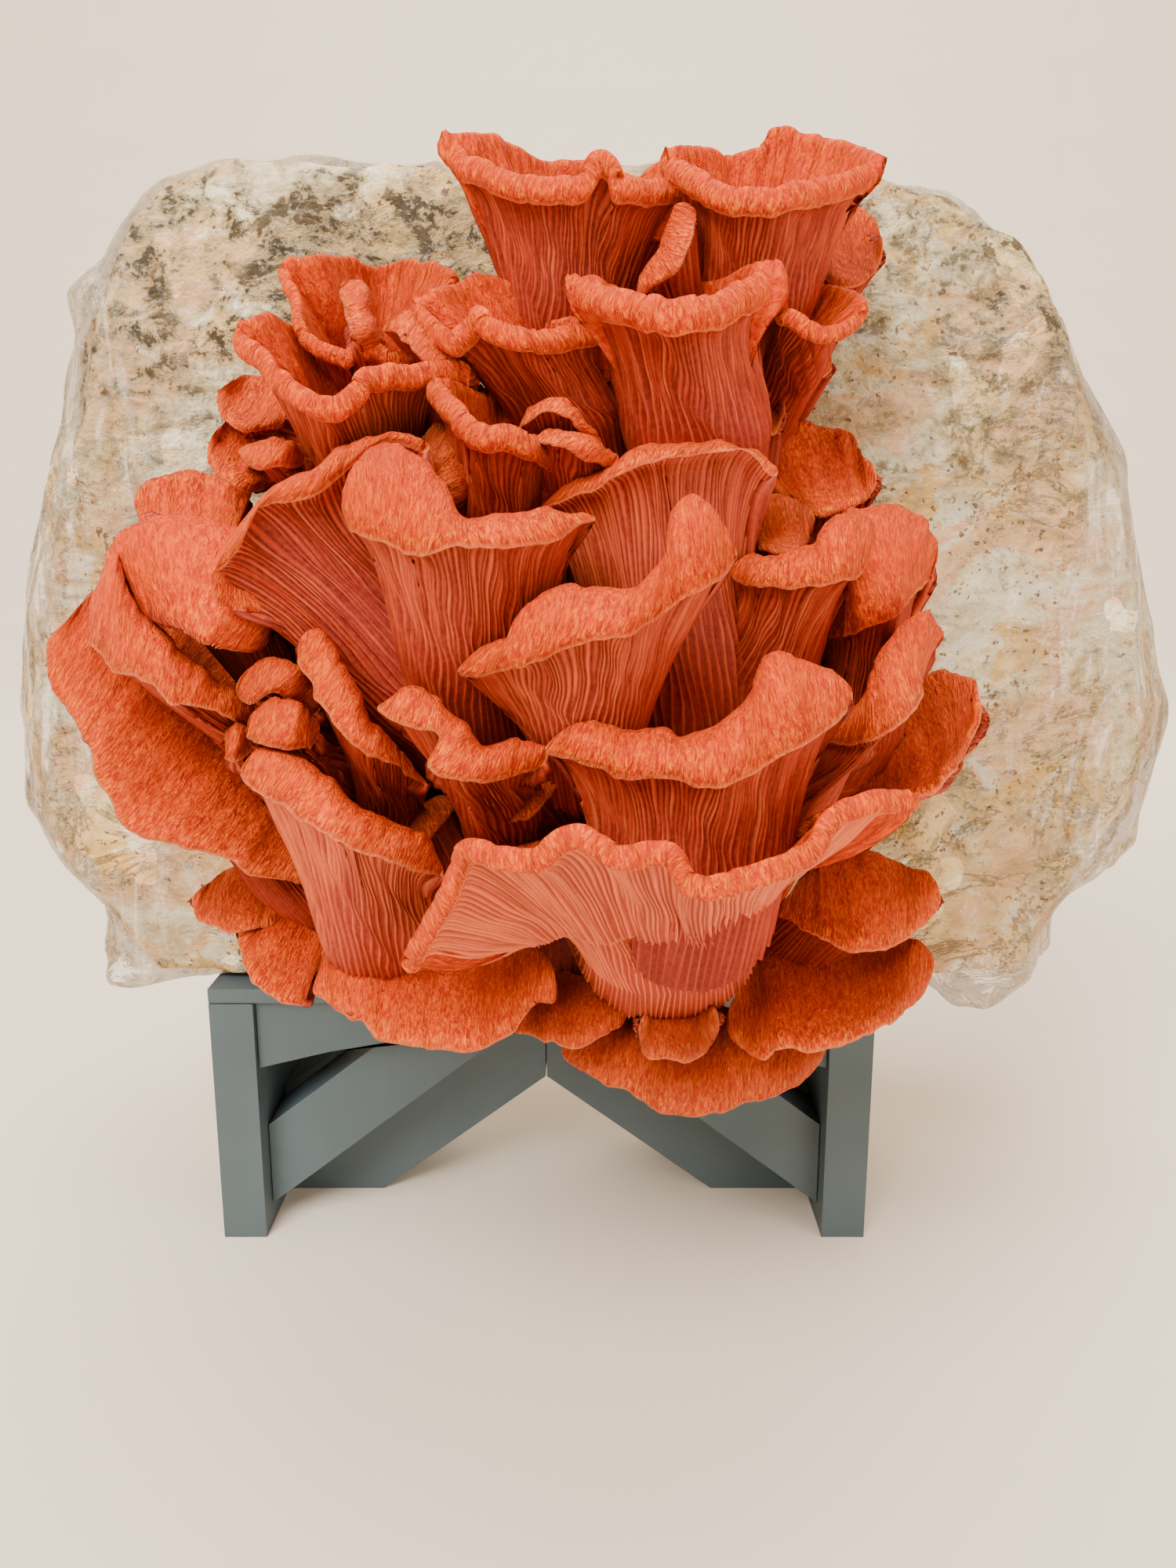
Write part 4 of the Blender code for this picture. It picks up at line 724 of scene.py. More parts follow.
def under_dish(mushroom, near, far, t):
    """The ring at t of a dish's underside, which follows its skin."""
    chord = far - near
    width = np.linalg.norm(chord, axis=1)[:, None]
    up = ladder_up(near, far)
    thick = UNDER_FLESH * (1.0 - t) ** 0.5
    sides = []
    for place in ((1.0 - t) / 2, (1.0 + t) / 2):
        height = dish_height(mushroom, width, place) - thick
        sides.append(near + chord * place + up * height)
    return np.vstack([sides[0][:-1], sides[1][:0:-1]])


def plain_side(mushroom, knee, axis, rim, places):
    """The rows of the stem and of the gilled side at these places, still without grooves."""
    rows = stem_rings(mushroom, knee, axis, rim, STEM_ROWS)
    half = len(rim) // 2
    near = rim[:half + 1]
    far = np.vstack([rim[:1], rim[:half - 1:-1]])
    for t in places:
        one = cap_ring(mushroom, knee, axis, rim, t)
        if mushroom.form == "dish":
            share = smooth_step((t - UNDER_START) / (UNDER_FULL - UNDER_START))
            one = one * (1 - share) + under_dish(mushroom, near, far, t) * share
        rows.append(one)
    return np.array(rows)


def tucked(along):
    """How far each row is drawn in just under the rim."""
    below = (1.0 - along) / TUCK_SPAN
    return TUCK * below * np.exp(1.0 - below)


def stepped(ledge, along):
    """How far each row steps in below the ledge."""
    below = LEDGE_PLACE - along
    reached = smooth_step(below / LEDGE_SPAN)
    faded = smooth_step(below / LEDGE_FADE - LEDGE_HOLD)
    return ledge * (reached * (1.0 - faded))


def gilled_side(mushroom, knee, axis, rim, seed):
    """The rows of the stem and the gilled side with their grooves, foot to rim."""
    places = 1.0 - (1.0 - np.linspace(0.0, 1.0, CAP_ROWS)) ** ROW_CROWDING
    rows = plain_side(mushroom, knee, axis, rim, places)
    along = np.concatenate([np.linspace(-1.0, 0.0, STEM_ROWS, endpoint=False), places])
    around = np.roll(rows, -1, axis=1) - np.roll(rows, 1, axis=1)
    outward = unit(np.cross(around, np.gradient(rows, axis=0)))
    grooves = gill_grooves(len(rim), along)
    width = np.linalg.norm(around, axis=2) / 2
    depth = np.minimum(GILL_DEPTH, GILL_DEPTH_BY_WIDTH * width + GILL_DEPTH_LEAST)
    fade = smooth_step((along + 1.0) / GILL_FOOT_FADE)
    fade = fade * smooth_step((1.0 - along) / (1.0 - GILL_END))
    cut = depth * grooves * fade[:, None]
    cut = cut + tucked(along)[:, None] * np.minimum(1.0, width)
    cut = cut + stepped(mushroom.ledge, along)[:, None]
    drift = wander(len(rim), along, seed) * GILL_WANDER * fade[:, None]
    moved = rows - outward * cut[:, :, None] + unit(around) * drift[:, :, None]
    return moved, grooves, along


def open_lip(mushroom, knee, axis, rim):
    """Rows that roll over the rim of a funnel and go down into its throat."""
    here, way_in, forward = rim_directions(mushroom, knee, axis, rim)
    share = np.minimum(1.0, LIP_ROOM * room_across(here) / mushroom.lip)
    rise = unit(LIP_LEAN * forward + axis) * LIP_RISE * mushroom.lip * share
    thick = LIP_THICKNESS * mushroom.lip * share
    rows = []
    for step in range(1, LIP_ROWS + 1):
        turn = math.pi * step / LIP_ROWS
        inward = thick * (1 - math.cos(turn)) / 2
        if turn < math.pi / 2:
            inward = inward - LIP_BULGE * mushroom.lip * share * math.sin(2 * turn)
        rows.append(here + way_in * inward + rise * math.sin(turn))
    for t in THROAT_PLACES:
        there, way_in, _ = rim_directions(mushroom, knee, axis, rim, t)
        room = np.minimum(1.0, FLESH_SHARE * room_across(there) / FLESH)
        flesh = FLESH * t + FLESH_AT_THROAT * (1 - t)
        join = smooth_step((t - THROAT_JOIN) / (1.0 - THROAT_JOIN))
        rows.append(there + way_in * (flesh * room * (1 - join) + thick * join))
    return np.array(rows)


def lowered_far_edge(far, lip, axis):
    """The far edge moved down by what the lip adds to it."""
    return far - axis * full_between_ends(far) * lip * LIP_RISE * FAR_EDGE_DROP


def ladder_up(near, far):
    """The way out of the skin between two edges, which turns slowly along them."""
    along = np.gradient(near, axis=0) + np.gradient(far, axis=0)
    up = np.cross(along, far - near)
    half = max(len(near) // DISH_TURN_SHARE, 1)
    weights = np.hanning(2 * half + 3)[1:-1]
    padded = np.pad(up, ((half, half), (0, 0)), mode="edge")
    slow = [np.convolve(column, weights, "valid") for column in padded.T]
    return unit(np.stack(slow, axis=1))


def dish_rows(mushroom, near, far):
    """Rows from the near edge to the far one over a skin that is a shallow dish or dome."""
    chord = far - near
    width = np.linalg.norm(chord, axis=1)[:, None]
    up = ladder_up(near, far)
    rows = []
    for step in range(1, SKIN_ROWS):
        place = (1 - math.cos(math.pi * step / SKIN_ROWS)) / 2
        from_edge = np.minimum(place, 1 - place) * width
        lip = np.minimum(mushroom.lip, width / 2) * DISH_LIP
        rounding = np.sqrt(1 - (1 - np.clip(from_edge / np.maximum(lip, 1e-6), 0, 1)) ** 2)
        height = lip * rounding + dish_height(mushroom, width, place)
        inward = unit(chord) * (1 if place < 0.5 else -1)
        overhang = LIP_BULGE * lip * 4 * rounding * (1 - rounding)
        rows.append(near + chord * place + up * height - inward * overhang)
    return np.array(rows)


def arch_rows(near, far, top):
    """Rows from the near edge over the top line and down to the far edge behind it."""
    middle = (near + far) / 2
    toward = unit(near - far)
    height = np.linalg.norm(top - middle, axis=1)[:, None]
    rows = []
    for step in range(1, SKIN_ROWS):
        turn = math.pi * step / SKIN_ROWS
        bulge = ARCH_BULGE * height * math.sin(2 * turn) if turn < math.pi / 2 else 0.0
        rows.append(middle + (near - far) / 2 * math.cos(turn)
                    + (top - middle) * math.sin(turn) + toward * bulge)
    return np.array(rows)


def mushroom_shape(mushroom, seed):
    """All of a mushroom's points, faces, face looks and point attributes."""
    near, far = two_edges(mushroom)
    gills = max(GILLS_LEAST, round((path_length(near) + path_length(far)) / GILL_SPACING))
    half = 4 * (gills // 4)
    near = ruffled(even_path(near, half + 1), seed)
    far = ruffled(even_path(far, half + 1), seed + 1)
    rim = np.vstack([near[:-1], far[:-1]])
    knee, axis = cap_frame(mushroom, rim)
    top = far[::-1]
    if mushroom.form == "arch":
        middle_out = -(near[:, 1] * (1 - ARCH_TOP_SHARE) + top[:, 1] * ARCH_TOP_SHARE)
        far = slide_along_sight(near, -top[:, 1])[::-1]
        top = slide_along_sight(top, middle_out)
    if mushroom.form == "open":
        far = lowered_far_edge(far, mushroom.lip, axis)
    rim = np.vstack([near[:-1], far[:-1]])
    outer, grooves, along = gilled_side(mushroom, knee, axis, rim, seed)
    if mushroom.form == "open":
        skin = open_lip(mushroom, knee, axis, rim)
        return ring_shape(outer, skin, grooves, along, near)
    if mushroom.form == "arch":
        skin = arch_rows(near, far[::-1], top)
    else:
        skin = dish_rows(mushroom, near, far[::-1])
    return ladder_shape(outer, skin, grooves, along, near)


def quads(lower, upper, closed):
    """Faces between two rows of point numbers."""
    after = np.roll(lower, -1), np.roll(upper, -1)
    faces = np.stack([lower, after[0], after[1], upper], axis=1)
    return faces.tolist() if closed else faces[:-1].tolist()


def outer_parts(outer, grooves, along, near):
    """The points, faces and attributes of the gilled side, with the foot closed."""
    count = outer.shape[1]
    points = np.vstack([outer.reshape(-1, 3), outer[:1].mean(axis=1)])
    numbers = np.arange(len(points) - 1).reshape(outer.shape[:2])
    faces = []
    for lower, upper in zip(numbers, numbers[1:]):
        faces += quads(lower, upper, True)
    foot = len(points) - 1
    faces += [[foot, after, one] for one, after in zip(numbers[0], np.roll(numbers[0], -1))]
    half = count // 2
    reach = path_length(near)
    across = np.concatenate([np.arange(half), np.arange(half, 0, -1)]) / half * reach
    length = np.linalg.norm(outer[-1] - outer[STEM_ROWS], axis=1)
    fibre = np.zeros((len(points), 3))
    fibre[:-1, 0] = np.tile(across, len(outer))
    fibre[:-1, 1] = ((1 - along)[:, None] * length[None, :]).ravel()
    depth = np.zeros((len(points), 3))
    depth[:-1, 0] = grooves.ravel()
    depth[:-1, 1] = np.repeat(smooth_step(along), count)
    return points, faces, fibre, depth, numbers[-1]


def skin_values(across, inward):
    """The fibre and depth attributes of the skin's rows, from how far in each point lies."""
    fibre = np.zeros((inward.size, 3))
    fibre[:, 0] = np.tile(across, len(inward))
    fibre[:, 1] = inward.ravel()
    depth = np.zeros((inward.size, 3))
    depth[:, 1] = np.exp(-inward.ravel() / EDGE_REACH)
    return fibre, depth


def ring_shape(outer, skin, grooves, along, near):
    """A funnel: the gilled side, then the skin's rings down to the closed throat."""
    points, faces, fibre, depth, rim = outer_parts(outer, grooves, along, near)
    gilled = len(faces)
    count = len(rim)
    first = len(points)
    numbers = np.arange(first, first + skin.shape[0] * count).reshape(skin.shape[:2])
    rows = [rim] + list(numbers)
    for lower, upper in zip(rows, rows[1:]):
        faces += quads(lower, upper, True)
    throat = first + numbers.size
    faces += [[one, after, throat] for one, after in zip(rows[-1], np.roll(rows[-1], -1))]
    points = np.vstack([points, skin.reshape(-1, 3), skin[-1:].mean(axis=1)])
    steps = np.linalg.norm(np.diff(skin, axis=0, prepend=outer[-1:]), axis=2)
    skin_fibre, skin_depth = skin_values(fibre[rim, 0], np.cumsum(steps, axis=0))
    shade = smooth_step(np.linspace(THROAT_SHADE_START, 1.0, len(skin)))
    skin_depth[:, 2] = np.repeat(shade, count)
    fibre = np.vstack([fibre, skin_fibre, [[0.0, 0.0, 0.0]]])
    depth = np.vstack([depth, skin_depth, [[0.0, 0.0, 1.0]]])
    return points, faces, gilled, fibre, depth


def ladder_faces(rows):
    """Faces between rows that share their end points, where some corners fall together."""
    faces = []
    for lower, upper in zip(rows, rows[1:]):
        for face in quads(lower, upper, False):
            corners = list(dict.fromkeys(face))
            if len(corners) > 2:
                faces.append(corners)
    return faces


def ladder_shape(outer, skin, grooves, along, near):
    """A cap whose skin runs from its near edge to its far edge in rows."""
    points, faces, fibre, depth, rim = outer_parts(outer, grooves, along, near)
    gilled = len(faces)
    half = len(rim) // 2
    first = len(points)
    inner = skin[:, 1:-1]
    near_row = rim[:half + 1]
    far_row = np.concatenate([rim[:1], rim[:half - 1:-1]])
    rows = [near_row]
    numbers = np.arange(first, first + inner.shape[0] * inner.shape[1]).reshape(inner.shape[:2])
    for one in numbers:
        rows.append(np.concatenate([near_row[:1], one, near_row[-1:]]))
    rows.append(far_row)
    faces += ladder_faces(rows)
    points = np.vstack([points, inner.reshape(-1, 3)])
    steps = np.linalg.norm(np.diff(inner, axis=0, prepend=outer[-1:, 1:half]), axis=2)
    inward = np.cumsum(steps, axis=0)
    last = np.linalg.norm(outer[-1, :half:-1] - inner[-1], axis=1)
    edge = np.minimum(inward, inward[-1:] + last - inward)
    skin_fibre, skin_depth = skin_values(fibre[near_row[1:-1], 0], edge)
    fibre = np.vstack([fibre, skin_fibre])
    depth = np.vstack([depth, skin_depth])
    return points, faces, gilled, fibre, depth


def shift_to_frame():
    """The move from the drawing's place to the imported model's, in metres."""
    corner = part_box("stand_leg_left")[0]
    return Vector((corner.x - STAND_LEFT * MM, corner.y - STAND_SETBACK * MM, 0.0))


def add_object(name, data):
    """An object in the scene."""
    made = bpy.data.objects.new(name, data)
    bpy.context.scene.collection.objects.link(made)
    return made


def smooth_faces(mesh):
    """Shade every face smoothly."""
    mesh.polygons.foreach_set("use_smooth", [True] * len(mesh.polygons))


def set_look(mesh, look):
    """Give the mesh this one look."""
    mesh.materials.clear()
    mesh.materials.append(look)


def make_mesh(name, points, faces, looks):
    """An object from points in millimetres."""
    mesh = bpy.data.meshes.new(name)
    mesh.from_pydata((points * MM).tolist(), [], faces)
    mesh.validate()
    mesh.transform(Matrix.Translation(shift_to_frame()))
    for look in looks:
        mesh.materials.append(look)
    smooth_faces(mesh)
    return add_object(name, mesh)


def add_attribute(mesh, name, values):
    """Store three numbers for each point."""
    layer = mesh.attributes.new(name, "FLOAT_VECTOR", "POINT")
    layer.data.foreach_set("vector", np.asarray(values, np.float32).ravel())


def make_mushroom(number, name, mushroom, looks):
    """One mushroom with its gills and skin."""
    points, faces, gilled, fibre, depth = mushroom_shape(mushroom, SEED_STEP * number)
    made = make_mesh(name + "_flesh", points, faces, looks)
    mesh = made.data
    slots = [0] * gilled + [1] * (len(faces) - gilled)
    mesh.polygons.foreach_set("material_index", slots[:len(mesh.polygons)])
    fibre[:, 2] = NOISE_STEP * number
    add_attribute(mesh, "fibre", fibre)
    add_attribute(mesh, "depth", depth)
    tone = np.zeros((len(points), 3))
    tone[:, 0] = mushroom.brown
    tone[:, 1] = mushroom.pale
    add_attribute(mesh, "tone", tone)
    return made


class Look:
    """A material's nodes, with short calls for the common ones."""

    def __init__(self, name):
        self.material = bpy.data.materials.new(name)
        self.material.use_nodes = True
        self.tree = self.material.node_tree
        self.shader = self.tree.nodes["Principled BSDF"]

    def node(self, kind, inputs=None, **settings):
        """A node with its settings, and its inputs set or linked."""
        made = self.tree.nodes.new(kind)
        for name, value in settings.items():
            setattr(made, name, value)
        for name, value in (inputs or {}).items():
            self.set(made.inputs[name], value)
        return made

    def set(self, socket, value):
        """Link a socket, or set its value."""
        if isinstance(value, bpy.types.NodeSocket):
            self.tree.links.new(value, socket)
        elif isinstance(value, tuple) and len(value) == 3 and socket.type == "RGBA":
            socket.default_value = (*value, 1.0)
        else:
            socket.default_value = value

    def put(self, name, value):
        """Set or link one of the shader's inputs."""
        self.set(self.shader.inputs[name], value)

    def math(self, operation, first, second=0.0, clamp=False):
        """A sum of one or two numbers."""
        inputs = {0: first, 1: second}
        return self.node("ShaderNodeMath", inputs, operation=operation, use_clamp=clamp).outputs[0]

    def times(self, first, second):
        """Two numbers multiplied."""
        return self.math("MULTIPLY", first, second)

    def plus(self, first, second):
        """Two numbers added."""
        return self.math("ADD", first, second)

    def rest_of(self, share):
        """What is left of 1."""
        return self.math("SUBTRACT", 1.0, share)

    def off_middle(self, value):
        """How far noise is from its middle value, which is low along thin winding lines."""
        return self.math("ABSOLUTE", self.math("SUBTRACT", value, 0.5))

    def blend(self, share, first, second):
        """Two colours mixed: all of the first where the share is 0, of the second where it is 1."""
        made = self.node("ShaderNodeMix", data_type="RGBA")
        self.set(made.inputs["Factor"], share)
        self.set(made.inputs[6], first)
        self.set(made.inputs[7], second)
        return made.outputs[2]

    def tint(self, share, colour, *screen):
        """The colour mixed with one given as on a screen."""
        return self.blend(share, colour, linear(*screen))

    def between(self, value, low, high, first=0.0, last=1.0):
        """The value's place between low and high, as a number from first to last."""
        names = {"Value": value, "From Min": low, "From Max": high, "To Min": first,
                 "To Max": last}
        return self.node("ShaderNodeMapRange", names).outputs["Result"]

    def split(self, vector):
        """A vector's three numbers."""
        parts = self.node("ShaderNodeSeparateXYZ", {"Vector": vector}).outputs
        return parts[0], parts[1], parts[2]

    def attribute(self, name):
        """A point attribute's vector."""
        return self.node("ShaderNodeAttribute", attribute_name=name).outputs["Vector"]

    def place(self, scale=(1.0, 1.0, 1.0), vector=None):
        """The place on the object, scaled."""
        if vector is None:
            vector = self.node("ShaderNodeTexCoord").outputs["Object"]
        return self.node("ShaderNodeMapping", {"Vector": vector, "Scale": scale}).outputs[0]

    def noise(self, vector, scale, detail=3.0, rough=0.5, bend=0.0):
        """Cloudy noise from 0 to 1."""
        names = {"Vector": vector, "Scale": scale, "Detail": detail, "Roughness": rough,
                 "Distortion": bend}
        return self.node("ShaderNodeTexNoise", names).outputs["Fac"]

    def bump(self, height, strength, distance):
        """A normal from a height."""
        names = {"Height": height, "Strength": strength, "Distance": distance}
        made = self.node("ShaderNodeBump", names)
        self.put("Normal", made.outputs["Normal"])


def linear(red, green, blue):
    """A colour given as on a screen, from 0 to 255, as the light it stands for."""
    return tuple(((value / 255 + 0.055) / 1.055) ** 2.4 for value in (red, green, blue))


def skin_orange(look, wrinkle, coarse, cloud):
    """The skin's orange along its wrinkles, a little redder low in the cluster as painted shade."""
    _, _, up = look.split(look.place())
    # Painted shade: lower in the cluster the skin's orange turns deeper and redder.
    low = look.between(up, 0.24, 0.07)
    dark = look.blend(low, linear(190, 44, 4), linear(186, 42, 0))
    light = look.blend(low, linear(236, 78, 4), linear(238, 80, 0))
    colour = look.blend(look.between(wrinkle, 0.38, 0.6), dark, light)
    colour = look.blend(look.between(coarse, 0.4, 0.7, 0.0, 0.45), colour, dark)
    return look.tint(look.between(cloud, 0.4, 0.7, 0.0, 0.35), colour, 212, 54, 6)


def skin_look():
    """The caps' upper skin: orange, with fine radial wrinkles, stipple and a painted highlight
    along the margin.
    """
    look = Look("cap_skin_detail")
    vector = look.attribute("fibre")
    _, inward, _ = look.split(vector)
    _, near_rim, throat = look.split(look.attribute("depth"))
    brown, _, _ = look.split(look.attribute("tone"))
    wrinkle = look.noise(look.place((0.85, 0.24, 1.0), vector), 1.0, 4.0, 0.6, 0.9)
    stipple = look.noise(look.place((2.1, 0.55, 1.0), vector), 1.0, 3.0, 0.6, 0.7)
    coarse = look.noise(look.place((0.3, 0.12, 1.0), vector), 1.0, 3.0, 0.55, 0.6)
    cloud = look.noise(look.place(), 45.0, 3.0, 0.5)
    colour = skin_orange(look, wrinkle, coarse, cloud)
    bright = look.times(look.between(stipple, 0.5, 0.62, 0.0, 0.75),
                        look.between(near_rim, 0.0, 0.8, 0.25, 1.0))
    colour = look.tint(bright, colour, 252, 132, 14)
    pit = look.times(look.between(stipple, 0.46, 0.37, 0.0, 0.65),
                     look.between(near_rim, 0.0, 0.8, 0.4, 1.0))
    colour = look.tint(pit, colour, 160, 34, 4)
    # Painted shade down the funnel's throat.
    colour = look.tint(look.times(throat, 0.6), colour, 188, 40, 10)
    # A painted highlight: a thin pale line along the rim.
    rim_highlight = look.between(inward, 1.0, 0.2, 0.0, 0.7)
    colour = look.tint(rim_highlight, colour, 255, 140, 84)
    brownish = look.times(look.between(cloud, 0.3, 0.6, 0.5, 1.0), brown)
    colour = look.tint(brownish, colour, 128, 52, 26)
    look.put("Base Color", colour)
    look.put("Roughness", look.between(stipple, 0.3, 0.7, 0.55, 0.75))
    look.put("Specular IOR Level", 0.15)
    height = look.plus(wrinkle, look.times(stipple, 0.7))
    look.bump(height, 1.0, 0.0013)
    return look.material


def gill_flesh(look, groove, pale):
    """Red crests over valleys darkened by painted shade, both pinker where the gills are pale."""
    cloudy = look.between(look.noise(look.place(), 38.0, 3.0, 0.5), 0.3, 0.7)
    crest = look.blend(cloudy, linear(170, 38, 6), linear(192, 52, 12))
    crest = look.blend(pale, crest, linear(234, 110, 68))
    # The valleys' darker red is painted shade in the grooves between the gills.
    valley_shade = look.blend(cloudy, linear(98, 14, 4), linear(80, 10, 4))
    valley_shade = look.blend(look.times(pale, 0.7), valley_shade, linear(194, 70, 40))
    return look.blend(look.between(groove, 0.2, 0.85), crest, valley_shade)


def gill_look():
    """The gilled side and the stem: orange-pink crests over valleys painted deep red-brown as
    shade, darker still by painted shade away from the rim.
    """
    look = Look("gill_detail")
    vector = look.attribute("fibre")
    groove, toward_rim, _ = look.split(look.attribute("depth"))
    brown, pale, _ = look.split(look.attribute("tone"))
    streak = look.noise(look.place((0.7, 0.05, 1.0), vector), 1.0, 4.0, 0.65, 0.7)
    grain = look.noise(look.place(), 900.0, 3.0, 0.6)
    colour = gill_flesh(look, groove, pale)
    dim = look.times(look.between(streak, 0.46, 0.62, 0.0, 0.8),
                     look.rest_of(look.times(pale, 0.6)))
    colour = look.tint(dim, colour, 118, 18, 4)
    glow = look.times(look.between(streak, 0.46, 0.3, 0.0, 0.5), look.rest_of(groove))
    colour = look.tint(glow, colour, 246, 124, 60)
    # Painted shade deep under the cap, away from the rim, less where the gills are pale.
    plain = look.rest_of(look.times(pale, 0.8))
    deep_shade = look.times(look.between(toward_rim, 0.8, 0.0, 0.0, 0.5), plain)
    colour = look.tint(deep_shade, colour, 150, 30, 10)
    colour = look.tint(look.between(grain, 0.35, 0.7, 0.0, 0.12), colour, 240, 120, 80)
    colour = look.tint(look.times(brown, 0.5), colour, 110, 46, 26)
    look.put("Base Color", colour)
    look.put("Roughness", 0.65)
    look.put("Specular IOR Level", 0.2)
    look.bump(grain, 0.3, 0.0003)
    return look.material


def mycelium_colour(look, cloud, patch, pink):
    """Clean mycelium: cream and white in swirls, with pink and ochre patches."""
    swirl = look.noise(look.place((1.0, 1.0, 1.6)), 46.0, 6.0, 0.7, 1.4)
    cloudy = look.between(cloud, 0.44, 0.54)
    colour = look.blend(cloudy, linear(252, 214, 148), linear(255, 242, 204))
    colour = look.tint(look.between(pink, 0.5, 0.53, 0.0, 0.85), colour, 255, 198, 144)
    colour = look.tint(look.between(patch, 0.55, 0.59, 0.0, 0.85), colour, 244, 192, 92)
    colour = look.tint(look.between(swirl, 0.5, 0.6, 0.0, 0.7), colour, 210, 174, 112)
    return look.tint(look.between(swirl, 0.45, 0.38, 0.0, 0.8), colour, 255, 248, 226)


def worn_share(look, place, cloud, patch):
    """Where the block is worn grey: in clouds at the top and in patches at its upper corners."""
    across, _, up = look.split(place)
    top = look.times(look.between(up, 0.19, 0.26, 0.08, 1.0), look.between(cloud, 0.54, 0.46))
    left = look.times(look.between(up, 0.18, 0.24), look.between(across, -0.02, -0.06))
    right = look.times(look.between(up, 0.2, 0.25), look.between(across, 0.06, 0.1))
    corners = look.times(look.math("MAXIMUM", left, right), look.between(patch, 0.36, 0.5))
    return look.math("MAXIMUM", top, corners)


def block_look():
    """Mycelium over straw and sawdust: cream, with grey, ochre, brown and pink patches."""
    look = Look("mycelium_detail")
    place = look.place()
    cloud = look.noise(place, 15.0, 5.0, 0.6, 0.4)
    fleck = look.noise(look.place((1.0, 1.0, 1.3)), 150.0, 6.0, 0.7, 0.3)
    speck = look.noise(place, 480.0, 3.0, 0.6)
    patch = look.noise(look.place((1.0, 1.0, 1.3)), 34.0, 6.0, 0.65, 0.5)
    vein = look.noise(look.place((1.0, 1.0, 1.5)), 40.0, 7.0, 0.7, 0.6)
    pink = look.noise(look.place((1.0, 1.0, 1.5)), 24.0, 5.0, 0.65, 0.5)
    colour = mycelium_colour(look, cloud, patch, pink)
    ridge = look.off_middle(vein)
    marbled = look.times(look.between(ridge, 0.03, 0.0), look.between(cloud, 0.56, 0.46))
    colour = look.tint(look.times(marbled, 0.9), colour, 120, 96, 54)
    worn = worn_share(look, place, cloud, patch)
    grey = look.times(look.between(fleck, 0.42, 0.5, 0.15, 0.85), worn)
    colour = look.tint(grey, colour, 176, 154, 106)
    dark = look.times(look.between(fleck, 0.52, 0.57), worn)
    colour = look.tint(dark, colour, 66, 52, 28)
    crust = look.times(look.between(fleck, 0.57, 0.61, 0.0, 0.6), look.between(pink, 0.5, 0.44))
    colour = look.tint(crust, colour, 116, 92, 48)
    brown = look.times(look.between(speck, 0.61, 0.65, 0.0, 0.9), look.between(patch, 0.42, 0.5))
    colour = look.tint(brown, colour, 104, 66, 30)
    look.put("Base Color", colour)
    look.put("Roughness", 0.8)
    height = look.plus(fleck, look.times(vein, 1.2))
    look.bump(height, 1.0, 0.003)
    return look.material


def base_look():
    """The foot of the cluster: red-brown flesh with pale mycelium where it meets the block."""
    look = Look("cluster_base_detail")
    place = look.place()
    cloud = look.noise(place, 60.0, 4.0, 0.6, 0.5)
    grain = look.noise(place, 500.0, 3.0, 0.6)
    colour = look.blend(look.between(cloud, 0.3, 0.7), linear(120, 34, 14), linear(170, 66, 34))
    _, back, _ = look.split(place)
    near_block = look.between(back, -0.03, 0.004)
    patchy = look.times(near_block, look.between(cloud, 0.35, 0.6, 0.3, 1.0))
    colour = look.tint(patchy, colour, 240, 196, 150)
    look.put("Base Color", colour)
    look.put("Roughness", 0.7)
    look.bump(look.plus(cloud, look.times(grain, 0.3)), 0.5, 0.001)
    return look.material


def film_look():
    """Thin clear bag film: clear, with a gloss, and milky along its creases."""
    look = Look("clear_film_detail")
    place = look.place()
    crease = look.noise(look.place((1.0, 1.0, 2.2)), 60.0, 4.0, 0.6, 1.5)
    fine = look.noise(place, 240.0, 3.0, 0.6, 0.8)
    ridge = look.off_middle(crease)
    across, _, _ = look.split(place)
    loose = look.between(look.math("ABSOLUTE", across), 0.1, 0.15)
    hanging = look.noise(look.place((1.0, 1.0, 0.22)), 130.0, 5.0, 0.65, 1.0)
    folds = look.times(look.between(hanging, 0.45, 0.66, 0.0, 0.5), loose)
    milky = look.plus(look.between(ridge, 0.0, 0.025, 0.22, 0.0), folds)
    height = look.plus(crease, look.times(fine, 0.25))
    look.bump(height, 0.5, 0.004)
    look.put("Base Color", look.blend(look.between(hanging, 0.56, 0.62), linear(206, 190, 162),
                                      linear(255, 246, 226)))
    look.put("Roughness", 0.12)
    look.put("Specular IOR Level", 0.6)
    normal = look.shader.inputs["Normal"].links[0].from_socket
    rim = look.node("ShaderNodeFresnel", {"IOR": 1.45, "Normal": normal}).outputs[0]
    share = look.math("ADD", look.times(rim, 0.7), milky, clamp=True)
    look.put("Alpha", share)
    return look.material


def print_look():
    """Matte grey-green print, with faint layers."""
    look = Look("grey_print_detail")
    place = look.place()
    layers = look.noise(look.place((0.02, 0.02, 1.0)), 1800.0, 2.0, 0.5)
    cloud = look.noise(place, 30.0, 3.0, 0.5)
    colour = look.blend(look.between(cloud, 0.3, 0.7), linear(62, 76, 80), linear(70, 84, 88))
    look.put("Base Color", colour)
    look.put("Roughness", 0.55)
    look.bump(layers, 0.15, 0.0002)
    return look.material


def remeshed(node, size, rounds):
    """A copy of a CAD node with an even, smoothed skin."""
    made = add_object(node + "_skin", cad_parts[node].data.copy())
    melt = made.modifiers.new("melt", "REMESH")
    melt.mode = "VOXEL"
    melt.voxel_size = size
    soften = made.modifiers.new("soften", "SMOOTH")
    soften.factor = 0.5
    soften.iterations = rounds
    graph = bpy.context.evaluated_depsgraph_get()
    mesh = bpy.data.meshes.new_from_object(made.evaluated_get(graph))
    made.modifiers.clear()
    made.data = mesh
    smooth_faces(mesh)
    return made


